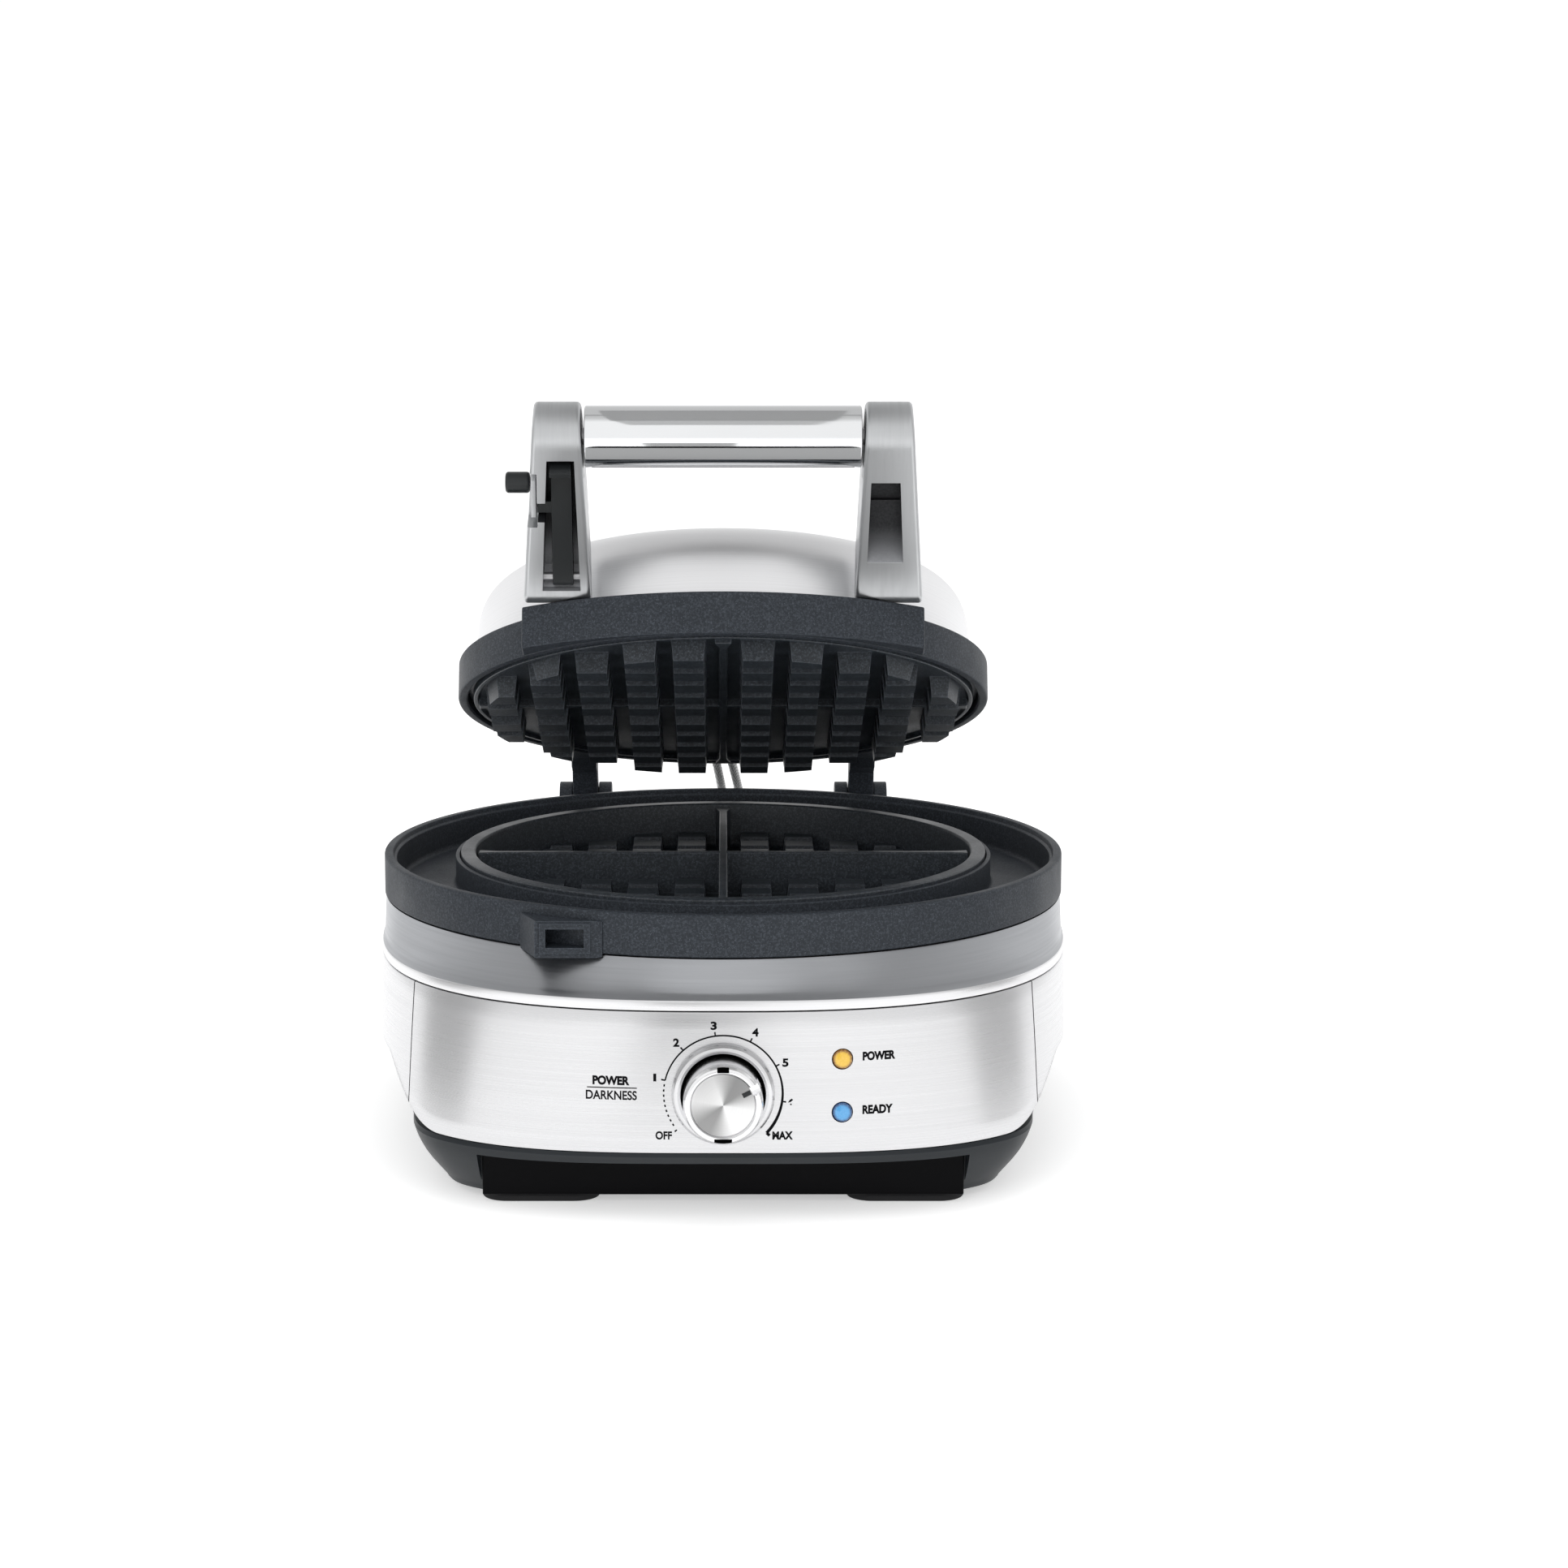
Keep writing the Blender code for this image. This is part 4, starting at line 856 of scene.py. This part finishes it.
def make_hinge_brackets():
    outline = [(138, 76), (138, 85)] + arc(AXIS, 9, -40, 180, 36) + [(119.5, 86), (119.5, 76)]
    for side, sign in SIDES:
        low, high = span(sign, HINGE_X, BRACKET_WIDTH)
        bracket = prism(f"hinge_bracket_{side}_cast", outline, low, high, "X")
        slot = span(sign, HINGE_X, HINGE_SLOT)
        boolean(bracket, box(f"{side}_slot_cutter", (slot[0], 110, 85.5), (slot[1], 150, 120)))
        boolean(bracket, rod(f"{side}_ear_cutter", (sign * 40, *AXIS), (sign * 75, *AXIS), PIN_HOLE))
        bevel(bracket, 0.7, 3, 40)
        place(bracket, "base", "cast_dark", CAST, [f"hinge_bracket_{side}"], weighted=True)
        pin = rod(f"hinge_pin_{side}_head", (low - 0.6, *AXIS), (high + 0.6, *AXIS), 3.0, 48)
        bevel(pin, 0.5, 3, 50)
        place(pin, "base", "inner_steel", INNER_STEEL, [f"hinge_pin_{side}"], weighted=True)


# --- plates -------------------------------------------------------------------------------------


def clip_to_circle(outline, radius):
    steps = 120
    for i in range(steps):
        a = tau * (i + 0.5) / steps
        nx, ny = cos(a), sin(a)
        kept = []
        for (x0, y0), (x1, y1) in zip(outline, outline[1:] + outline[:1]):
            d0 = x0 * nx + y0 * ny - radius
            d1 = x1 * nx + y1 * ny - radius
            if d0 <= 0:
                kept.append((x0, y0))
            if d0 * d1 < 0:
                share = d0 / (d0 - d1)
                kept.append((x0 + share * (x1 - x0), y0 + share * (y1 - y0)))
        outline = kept
        if len(outline) < 3:
            return []
    return outline


def area(outline):
    pairs = zip(outline, outline[1:] + outline[:1])
    return abs(sum(x0 * y1 - x1 * y0 for (x0, y0), (x1, y1) in pairs)) / 2


def grid_blocks(name, root, tip):
    shape = bmesh.new()
    middles = [BLOCK_START + BLOCK_PITCH * i + BLOCK_BASE / 2 for i in range(5)]
    middles = [-m for m in reversed(middles)] + middles
    for cx in middles:
        for cy in middles:
            corners = []
            for size, height, reach in ((BLOCK_BASE, root, 0.4), (BLOCK_TIP, tip, 1.6)):
                h = size / 2
                square = [(cx - h, cy - h), (cx + h, cy - h), (cx + h, cy + h), (cx - h, cy + h)]
                piece = clip_to_circle(square, CAVITY - 1.0 - reach)
                corners.append([(x, y, height) for x, y in piece])
                room = area(piece) if piece else 0.0
            if room < 12.0:
                continue
            verts = [shape.verts.new(Vector(p) * MM) for p in corners[0] + corners[1]]
            made = bmesh.ops.convex_hull(shape, input=verts)
            loose = [v for v in made["geom_interior"] if isinstance(v, bmesh.types.BMVert)]
            bmesh.ops.delete(shape, geom=loose, context="VERTS")
    bmesh.ops.dissolve_limit(shape, angle_limit=radians(1.5), verts=shape.verts, edges=shape.edges)
    bmesh.ops.recalc_face_normals(shape, faces=shape.faces)
    mesh = bpy.data.meshes.new(name)
    shape.to_mesh(mesh)
    shape.free()
    item = link_object(name, mesh)
    bevel(item, 0.75, 3, 38)
    bake(item)
    return item


def cross_ribs(name, low, high):
    h, r, flare = 1.5, CAVITY - 0.4, 3.0
    arm = [(h, -h), (r - 7, -h), (r, -flare), (r, flare), (r - 7, h)]
    outline = []
    for c, s in ((1, 0), (0, 1), (-1, 0), (0, -1)):
        outline += [(c * x - s * y, s * x + c * y) for x, y in arm]
    item = prism(name, outline, low, high, "Z")
    bevel(item, 0.5, 3, 38)
    bake(item)
    return item


def merge(target, *others):
    """Adds the meshes of other objects to the target's."""
    shape = bmesh.new()
    shape.from_mesh(target.data)
    for other in others:
        shape.from_mesh(other.data)
        bpy.data.objects.remove(other)
    shape.to_mesh(target.data)
    shape.free()


def make_plates():
    base = RIM - 17.5
    profile = [
        (0, base - 3, 0),
        (PLATE, base - 3, 0.6),
        (PLATE, RIM - 0.4, 0.7),
        (CAVITY + 0.4, RIM - 0.4, 0.9),
        (CAVITY - 1.0, base, 2.2),
        (0, base, 0),
    ]
    lower = revolve("lower_plate_grid", fillet(profile, 5), 192)
    blocks = grid_blocks("lower_blocks", base - 0.8, RIM - 11)
    merge(lower, blocks, cross_ribs("lower_ribs", base - 0.9, RIM - 2.0))
    place(lower, "base", "plate_coating", PLATE_COAT, ["lower_plate"], angle=30, weighted=True)
    floor = RIM + 1.5
    profile = [
        (0, floor, 0),
        (CAVITY - 0.9, floor, 0.6),
        (CAVITY, RIM + 0.3, 0.3),
        (CAVITY + 1.5, RIM + 0.3, 0.4),
        (CAVITY + 1.5, RIM + 3.5, 0.3),
        (94.4, RIM + 3.5, 0.3),
        (94.4, RIM + 8, 0.3),
        (88, RIM + 8, 0.3),
        (88, floor + 3, 0.3),
        (0, floor + 3, 0),
    ]
    upper = revolve("upper_plate_grid", fillet(profile), 192)
    blocks = grid_blocks("upper_blocks", floor + 0.8, RIM - 6.2)
    merge(upper, blocks, cross_ribs("upper_ribs", RIM - 1.2, floor + 0.9))
    place(upper, "lid", "plate_coating", PLATE_COAT, ["upper_plate"], LID, 30, True)


# --- dial ---------------------------------------------------------------------------------------


def make_dial():
    face = FRONT + 0.3
    centre = (0, 0, DIAL_Z)
    bezel = [
        (6.0, face, 0),
        (BEZEL, face, 0.15),
        (BEZEL, face + 1.3, 0.5),
        (BEZEL - 0.9, face + 2.7, 1.0),
        (BEZEL - 2.0, face + 3.2, 0.5),
        (KNOB + 0.9, face + 2.4, 0.5),
        (KNOB + 0.7, face + 0.9, 0.2),
        (6.0, face + 0.9, 0),
    ]
    body = revolve("dial_bezel_ring", fillet(bezel, 5), 160, centre, "-Y")
    place(body, "base", "steel", BEZEL_METAL, ["dial_bezel"], angle=40)
    # a near-black disc behind the gap between knob and bezel: painted shade in the gap
    gap = KNOB + 0.62
    gap_shade_profile = [(6.0, face + 0.95, 0), (gap, face + 0.95, 0.1), (gap, face + 1.1, 0), (6.0, face + 1.1, 0)]
    body = revolve("dial_gap_shade_disc", fillet(gap_shade_profile), 96, centre, "-Y")
    place(body, "base", "dark_plastic", GAP_SHADE)
    back = face + 1.5
    knob = [
        (0, back + 9, 0),
        (3.3, back + 9, 0.2),
        (3.3, back, 0.2),
        (KNOB, back, 0.3),
        (KNOB, KNOB_FRONT - 1.6, 0.8),
        (KNOB - 0.7, KNOB_FRONT - 0.4, 0.5),
        (KNOB - 1.5, KNOB_FRONT, 0.4),
        (KNOB - 2.2, KNOB_FRONT, 0.3),
        (KNOB - 2.7, KNOB_FRONT - 1.0, 0.25),
        (0, KNOB_FRONT - 1.2, 0),
    ]
    body = revolve("dial_knob_shell", fillet(knob, 5), 160, centre, "-Y")
    to_mark = Matrix.Rotation(radians(DIAL_MARK - 90), 4, (0, -1, 0))
    to_mark = Matrix.Translation((0, 0, DIAL_Z * MM)) @ to_mark
    notch = box("notch_cutter", (-1.5, -KNOB_FRONT - 1, 10.2), (1.5, -KNOB_FRONT + 3.4, 15))
    notch.matrix_world = to_mark
    boolean(body, notch)
    for k, (width, up) in enumerate(((2.0, 1), (3.0, -1))):
        low, high = sorted((DIAL_Z + up * 11.4, DIAL_Z + up * 15.0))
        dent = box(f"dent_{k}", (-width, -KNOB_FRONT - 1, low), (width, -KNOB_FRONT + 1.1, high))
        # the dents take the same near-black: painted shade in the recesses
        dent.data.materials.append(GAP_SHADE)
        boolean(body, dent)
    body.data.materials.append(KNOB_METAL)
    bevel(body, 0.15, 2, 50)
    place(body, "dial", "chrome", KNOB_METAL, ["dial_knob"], angle=40)
    edge = KNOB - 2.85
    disc = [(0, KNOB_FRONT - 1.15, 0), (edge, KNOB_FRONT - 1.0, 0.1)]
    disc += [(edge, KNOB_FRONT - 0.72, 0.15), (0, KNOB_FRONT - 0.8, 0)]
    body = revolve("dial_knob_disc", fillet(disc), 160, centre, "-Y")
    place(body, "dial", "chrome", KNOB_FACE, angle=40)
    inlay = box("dial_pointer", (-0.75, -KNOB_FRONT + 0.2, 7.4), (0.75, -KNOB_FRONT + 0.9, 10.4))
    inlay.data.transform(to_mark)
    bevel(inlay, 0.15, 2, 50)
    place(inlay, "dial", "dark_plastic", LATCH_PLASTIC, weighted=True)


def on_fascia(x, z):
    return (x, front_y(x, z) - PRINT_PROUD, z)


def band(name, points):
    """Flat strip through pairs of points."""
    faces = [(i, i + 1, i + 3, i + 2) for i in range(0, len(points) - 2, 2)]
    return add_mesh(name, points, faces)


def ribbon(name, start, end, low, high, steps):
    """Printed band on the fascia about the dial, from one angle and its (inner, outer) radii to another.

    The radii are measured from the scale's.
    """
    points = []
    for i in range(steps + 1):
        a = radians(start + (end - start) * i / steps)
        for k in (0, 1):
            radius = SCALE + low[k] + (high[k] - low[k]) * i / steps
            points.append(on_fascia(radius * cos(a), DIAL_Z + radius * sin(a)))
    return band(name, points)


def lettering(name, text, x, z, width, height, weight):
    """Flat letters of a size, centred at a place on the fascia and bent to its curve."""
    curve = bpy.data.curves.new(name, "FONT")
    curve.body = text
    curve.offset = weight
    mesh = curve_mesh(name, curve)
    xs = [v.co.x for v in mesh.vertices]
    ys = [v.co.y for v in mesh.vertices]
    for vertex in mesh.vertices:
        across = x + ((vertex.co.x - min(xs)) / (max(xs) - min(xs)) - 0.5) * width
        up = z + ((vertex.co.y - min(ys)) / (max(ys) - min(ys)) - 0.5) * height
        vertex.co = Vector(on_fascia(across, up)) * MM
    return link_object(name, mesh)


def make_print():
    thin, even, heavy = (-0.26, 0.26), (-0.28, 0.28), (-0.55, 0.55)
    marks = [ribbon("dial_scale", 167, 28, thin, even, 90)]
    marks.append(ribbon("scale_heavy", 28, -43, even, heavy, 60))
    for k in range(9):
        start = 214 - k * 5.1
        marks.append(ribbon(f"scale_dash_{k}", start, start - 2.3, thin, thin, 3))
    for k, angle in enumerate((219, 167, 132, 97.5, 63, 28, -8, -43)):
        reach = (0, 1.4 if k else 1.0)
        swing = 0.7 if k < 7 else 1.4
        marks.append(ribbon(f"scale_tick_{k}", angle - swing, angle + swing, reach, reach, 3))
    words = (
        ("1", -23.2, 50.5, 1.0, 2.7, 0.03),
        ("2", -15.9, 62.7, 2.1, 2.9, 0.04),
        ("3", -3.2, 68.6, 2.1, 2.9, 0.04),
        ("4", 10.9, 66.3, 2.2, 2.9, 0.04),
        ("5", 21.1, 55.7, 2.1, 2.9, 0.04),
        ("6", 23.0, 41.7, 2.1, 2.9, 0.04),
        ("OFF", -20.2, 30.3, 5.6, 2.9, 0.035),
        ("MAX", 20.2, 30.3, 7.0, 2.9, 0.045),
        ("POWER", -38.1, 49.2, 12.6, 3.2, 0.05),
        ("DARKNESS", -38.0, 44.1, 17.4, 3.2, 0.022),
        ("POWER", 53.0, 57.2, 11.2, 3.1, 0.05),
        ("READY", 52.6, 38.7, 10.4, 3.1, 0.05),
    )
    for k, (text, x, z, width, height, weight) in enumerate(words):
        marks.append(lettering(f"word_{k}", text, x, z, width, height, weight))
    line = []
    for i in range(13):
        x = -46.3 + 17.0 * i / 12
        line += [on_fascia(x, 46.5), on_fascia(x, 46.85)]
    marks.append(band("word_line", line))
    target = marks[0]
    merge(target, *marks[1:])
    place(target, "base", "dark_plastic", INK, angle=180)
    target.name = "front_print"


# --- lid ----------------------------------------------------------------------------------------


def dome_section(edge, low, crown):
    steps = 28
    section = []
    for i in range(steps + 1):
        a = pi / 2 * i / steps
        radius = edge * cos(a) ** (2 / 5.0) if i < steps else 0.0
        section.append((radius, low + (crown - low) * sin(a) ** (2 / 4.0)))
    return section


def make_lid_shell():
    low = RIM + 0.3
    top = RIM + LID_TOP
    ring = [
        (95.3, low, 0.3),
        (LID_RADIUS, low, 0.7),
        (LID_RADIUS, top, 0.9),
        (86.0, top, 0.2),
        (86.0, top - 2, 0.2),
        (94.7, top - 2, 0.2),
        (94.7, low + 0.6, 0.2),
    ]
    place(revolve("lid_ring_cast", fillet(ring), 256), "lid", "cast_dark", CAST, ["lid_ring"], LID, 32)
    rest = top + 0.3
    crown = RIM + DOME_TOP
    section = dome_section(DOME, rest, crown) + dome_section(DOME - 1.0, rest, crown - 1.0)[::-1]
    place(revolve("lid_dome_shell", section, 256), "lid", "steel", DOME_STEEL, ["lid_dome"], LID, 40)


def make_handle_bracket():
    outline = []
    for i in range(49):
        x = -BRACKET_HALF + 2 * BRACKET_HALF * i / 48
        outline.append((x, BRACKET_BEND - BRACKET_FRONT - sqrt(BRACKET_BEND**2 - x**2)))
    for i in range(49):
        x = BRACKET_HALF - 2 * BRACKET_HALF * i / 48
        outline.append((x, -sqrt((LID_RADIUS + 0.3) ** 2 - x**2)))
    item = prism("handle_bracket_cast", outline, RIM + 0.3, RIM + BRACKET_TOP, "Z")
    bevel(item, 0.6, 3, 40)
    place(item, "lid", "cast_dark", CAST, ["handle_bracket"], LID, weighted=True)


def arm_point(s, t):
    a = radians(ARM_ANGLE)
    y = ARM_BASE[0] - s * cos(a) + t * sin(a)
    z = ARM_BASE[1] + s * sin(a) + t * cos(a)
    return (y, z + RIM)


def taper(item, sign, outer, inner):
    """Moves the outer and the inner side of an arm to their X at the foot and at the grip."""
    a = radians(ARM_ANGLE)
    for vertex in item.data.vertices:
        y = vertex.co.y / MM - ARM_BASE[0]
        z = vertex.co.z / MM - ARM_BASE[1] - RIM
        share = (-y * cos(a) + z * sin(a)) / ARM_LENGTH
        foot, grip = outer if abs(vertex.co.x / MM) > 56 else inner
        vertex.co.x = sign * (foot + (grip - foot) * share) * MM


def arm_cutter(name, sign, outline):
    item = prism(name, [arm_point(s, t) for s, t in outline], sign * 50, sign * 62, "X")
    taper(item, sign, CHANNEL_OUTER, CHANNEL_INNER)
    item.data.materials.append(ARM_CHANNEL_SHADE)
    return item


def make_arm(side, sign):
    centre = arm_point(ARM_LENGTH, 0)
    front_foot = (-88.0, RIM + BRACKET_TOP + 0.3)
    back_foot = (-82.0, RIM + BRACKET_TOP + 0.3)
    round_end = arc(centre, ARM_END, 180 + ARM_ANGLE - 5, ARM_ANGLE - 5, 40)
    neck = [(-80.0, RIM + 36.0), (-82.0, RIM + 26.0)]
    outline = [front_foot] + round_end + neck + [back_foot]
    arm = prism(f"arm_{side}_cast", outline, sign * 50, sign * 62, "X")
    taper(arm, sign, ARM_OUTER, ARM_INNER)
    bevel(arm, 1.5, 5, 35)
    arm.data.materials.append(ARM)
    front = -16.0
    if side == "left":
        channel = [(13.2, front), (62.3, front), (62.3, 2.0), (18.0, 2.0), (11.6, -3.4)]
        boolean(arm, arm_cutter("left_channel", sign, channel))
        notch = [(38.2, front), (46.2, front), (46.2, 0.0), (40.5, 0.0)]
        notch_cutter = prism("notch_cutter", [arm_point(s, t) for s, t in notch], -75, -58, "X")
        notch_cutter.data.materials.append(ARM_CHANNEL_SHADE)
        boolean(arm, notch_cutter)
        recess = [(37.0, front), (57.4, front), (57.4, 1.4), (37.0, 1.4)]
        boolean(arm, prism("recess_cutter", [arm_point(s, t) for s, t in recess], -75, -64.3, "X"))
        pin = arm_point(*LATCH_PIVOT)
        boolean(arm, rod("latch_pin_cutter", (-66.6, *pin), (-48.0, *pin), LATCH_HOLE, 32))
    else:
        channel = [(16.0, front), (54.0, front), (54.0, -1.0), (44.5, -1.0), (44.5, -3.0), (30.0, -3.0)]
        boolean(arm, arm_cutter("right_channel", sign, channel))
    boolean(arm, rod(f"{side}_rod_cutter", (sign * 40, *centre), (sign * 60.3, *centre), 3.3, 32))
    bevel(arm, 0.22, 2, 45)
    place(arm, "lid", "grey_arm", ARM, [f"arm_{side}"], LID, 30, True)


def make_handle():
    make_handle_bracket()
    make_arm("left", -1)
    make_arm("right", 1)
    centre = arm_point(ARM_LENGTH, 0)
    half = ARM_INNER[1] - (ARM_INNER[1] - ARM_INNER[0]) * ARM_END / ARM_LENGTH - 0.3
    profile = fillet([(9.3, -half, 0.3), (TUBE, -half, 0.5), (TUBE, half, 0.5), (9.3, half, 0.3)], 4)
    tube = revolve("handle_tube_chrome", profile, 160)
    turn = Matrix.Rotation(pi / 2, 4, "Y")
    tube.data.transform(Matrix.Translation(Vector((0, *centre)) * MM) @ turn)
    place(tube, "lid", "chrome", CHROME, ["handle_tube"], LID, 40)


def make_hinge_arms():
    outline = [(70, RIM + 4), (70, RIM + 18.5), (104, RIM + 18.5), (113, RIM + 15)]
    outline += arc(AXIS, 7.5, 62, -118, 36)
    outline += [(116.5, RIM + 1.2), (108, RIM + 1.2), (104, RIM + 4)]
    seat = LID_TOP + RIM + 0.3
    reach = LID_RADIUS + 0.3
    for side, sign in SIDES:
        low, high = span(sign, HINGE_X, HINGE_ARM)
        arm = prism(f"hinge_arm_{side}_cast", outline, low, high, "X")
        clear = [(0, RIM - 20), (reach, RIM - 20), (reach, seat), (DOME + 0.5, seat)]
        clear += [(DOME + 0.5, RIM + 60), (0, RIM + 60)]
        boolean(arm, revolve(f"{side}_lid_cutter", clear, 160))
        boolean(arm, rod(f"{side}_arm_pin_cutter", (sign * 40, *AXIS), (sign * 75, *AXIS), PIN_HOLE))
        bevel(arm, 0.5, 3, 40)
        place(arm, "lid", "cast_dark", CAST, [f"hinge_arm_{side}"], LID, weighted=True)


def make_latch():
    pivot = arm_point(*LATCH_PIVOT)
    matrix = LID @ turn_about(pivot, -LATCH_SWING)
    locked = radians(180 - ARM_ANGLE + LATCH_SWING)
    along = (cos(locked), sin(locked))
    ahead = (-along[1], along[0])

    def spot(u, v):
        return (pivot[0] + u * along[0] + v * ahead[0], pivot[1] + u * along[1] + v * ahead[1])

    h = 2.5
    reach = LATCH_REACH
    outline = [(0, -h - 0.4), (reach - 1.0, -h), (reach, -h + 1.0), (reach + 0.6, 4.2), (reach - 1.6, 11.6)]
    outline += [(reach - 3.4, 11.0), (reach - 1.8, h + 2.1), (reach - 4.6, h), (0, h + 0.4)]
    outline += [(-2.4, h - 0.4), (-3.2, 0), (-2.4, -h + 0.4)]
    lever = prism("latch_lever_bar", [spot(u, v) for u, v in outline], -59.6, -52.4, "X")
    tab = [spot(u, v) for u, v in ((25.0, -2.2), (29.2, -2.2), (29.2, 2.2), (25.0, 2.2))]
    boolean(lever, prism("latch_tab", tab, -64.4, -58.6, "X"), "UNION")
    boolean(lever, rod("lever_pin_cutter", (-70, *pivot), (-40, *pivot), LATCH_HOLE, 32))
    bevel(lever, 0.45, 3, 40)
    place(lever, "latch", "dark_plastic", LATCH_PLASTIC, ["latch_lever"], matrix, weighted=True)
    plate = [(23.6, -3.6), (37.5, -3.6), (40.2, -1.4), (40.2, 1.4), (37.5, 3.6), (23.6, 3.6)]
    cover = prism("latch_plate_cover", [spot(u, v) for u, v in plate], -66.6, -64.7, "X")
    bevel(cover, 0.4, 3, 40)
    place(cover, "latch", "grey_arm", ARM, ["latch_plate"], matrix, weighted=True)
    at = spot(35.5, 0)
    peg = rod("latch_peg_grip", (-66.9, *at), (-75.4, *at), 3.7, 48)
    bevel(peg, 1.1, 5, 60)
    place(peg, "latch", "dark_plastic", LATCH_PLASTIC, ["latch_peg"], matrix, weighted=True)


def make_wires():
    start = LID @ (Vector((0, 98.9, 113)) * MM) / MM
    for side, x0, x1 in (("left", -4.0, 1.0), ("right", 2.0, 8.0)):
        path = [(x0, start.y, start.z), (x0, start.y + 5, start.z - 2.5)]
        path += [(x0 + 0.3 * (x1 - x0), 121, 115), (x0 + 0.7 * (x1 - x0), 127.5, 104)]
        path += [(x1, 130, 94), (x1, 130, 76)]
        wire = tube_along(f"lid_wire_{side}_sleeve", path, 1.8)
        shade(wire, 60)
        wire.data.materials.append(SLEEVE)
        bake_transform(wire)
        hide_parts(f"lid_wire_{side}")


def paint_inner_nodes():
    steel = ("lower_element", "upper_element", "lower_reflector", "upper_reflector")
    steel += ("thermal_fuse", "dial_shaft", "handle_rod", "latch_pin")
    finishes = [(name, INNER_STEEL) for name in steel]
    finishes += [("thermostat_body", BODY_PLASTIC), ("terminal_block", BODY_PLASTIC)]
    finishes.append(("led_board", BOARD))
    for name, material in finishes:
        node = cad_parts[name]
        node.data.materials.clear()
        node.data.materials.append(material)


# --- studio -------------------------------------------------------------------------------------


def make_camera():
    data = bpy.data.cameras.new("photo_camera")
    data.sensor_width = 36.0
    data.lens = 88.0
    data.shift_x = 0.0388
    data.clip_start = 0.05
    data.clip_end = 30
    camera = link_object("photo_camera", data)
    camera.location = (0, -1.3956, 0.3723)
    camera.rotation_euler = (radians(80.085), 0, 0)
    bpy.context.scene.camera = camera


def make_floor():
    h = FLOOR_HALF
    corners = [(-h, -h, 0), (h, -h, 0), (h, h, 0), (-h, h, 0)]
    floor = add_mesh("studio_floor", corners, [(0, 1, 2, 3)])
    floor.data.materials.append(glowing("studio_paper", 0.93, 0.9, 0.44))


def make_world():
    """White room with a dark ceiling patch and two dark side strips, for the metal to mirror."""
    world = bpy.data.worlds.new("studio")
    bpy.context.scene.world = world
    world.use_nodes = True
    tree = world.node_tree
    back = tree.nodes["Background"]

    def ramp(value, stops):
        made = add_node(tree, "ValToRGB", value)
        made.color_ramp.interpolation = "EASE"
        while len(made.color_ramp.elements) < len(stops):
            made.color_ramp.elements.new(0.5)
        for element, (at, grey) in zip(made.color_ramp.elements, stops):
            element.position = at
            element.color = (grey, grey, grey, 1)
        return made.outputs["Color"]

    def maths(operation, *inputs):
        return add_node(tree, "Math", *inputs, operation=operation).outputs[0]

    heading = add_node(tree, "TexCoord").outputs["Generated"]
    x, y, z = add_node(tree, "SeparateXYZ", heading).outputs
    tilt = maths("ADD", maths("MULTIPLY", z, 0.94), maths("MULTIPLY", y, 0.34))
    ceiling = ramp(tilt, [(0.0, 1.0), (0.60, 1.0), (0.85, 0.62), (1.0, 0.58)])
    flat = maths("SQRT", maths("ADD", maths("MULTIPLY", x, x), maths("MULTIPLY", y, y)))
    ahead = maths("MULTIPLY_ADD", maths("DIVIDE", y, maths("MAXIMUM", flat, 0.001)), 0.5, 0.5)
    stops = [(0.0, 1.0), (0.26, 1.0), (0.38, 0.62), (0.52, 0.62), (0.64, 0.97), (1.0, 1.0)]
    sides = ramp(ahead, stops)
    both = maths("MULTIPLY", ceiling, sides)
    tree.links.new(both, back.inputs["Color"])
    back.inputs["Strength"].default_value = 1.02


def make_cards():
    """Cards that only mirrored rays see: beside and ahead of the body, and above and below the handle."""
    upright = lambda x0, x1, y0, y1, z0, z1: [(x0, y0, z0), (x1, y1, z0), (x1, y1, z1), (x0, y0, z1)]
    level = lambda x, y0, y1, z: [(-x, y0, z), (x, y0, z), (x, y1, z), (-x, y1, z)]
    for name, corners, grey in (
        ("card_left", upright(-360, -360, -190, 0, 1, 300), 0.30),
        ("card_right", upright(360, 360, -190, 0, 1, 300), 0.34),
        ("card_front", upright(-72, 12, -390, -390, 1, 150), 0.30),
        ("card_over", level(56, -126, -34, 362), 0.22),
        ("card_under", level(70, -158, -78, 196), 0.28),
        ("card_edge", level(70, -182, -158, 196), 0.02),
        ("card_behind", level(46, -67, -58, 248), 0.02),
        ("card_high", level(80, -300, -175, 500), 0.30),
    ):
        card = add_mesh(name, corners, [(0, 1, 2, 3)])
        card.data.materials.append(glowing(name, grey, 1.0, 0.6 * grey))
        card.visible_camera = False
        card.visible_diffuse = False
        card.visible_transmission = False
        card.visible_shadow = False


def make_lights():
    for name, spot, size, power in (
        ("top_soft", (0.0, -0.25, 1.9), 1.6, 6.0),
        ("front_soft", (-0.5, -1.9, 1.1), 1.2, 5.0),
    ):
        data = bpy.data.lights.new(name, "AREA")
        data.size = size
        data.energy = power
        lamp = link_object(name, data)
        lamp.location = spot
        lamp.rotation_euler = (Vector((0, 0, 0.1)) - Vector(spot)).to_track_quat("-Z", "Y").to_euler()
        lamp.visible_glossy = False


make_housing()
make_feet()
make_panels()
make_shoulder()
make_ring()
make_hinge_brackets()
make_plates()
make_dial()
make_print()
make_lid_shell()
make_handle()
make_hinge_arms()
make_latch()
make_wires()
paint_inner_nodes()
make_camera()
make_floor()
make_world()
make_cards()
make_lights()
bpy.context.scene.view_settings.view_transform = "Standard"
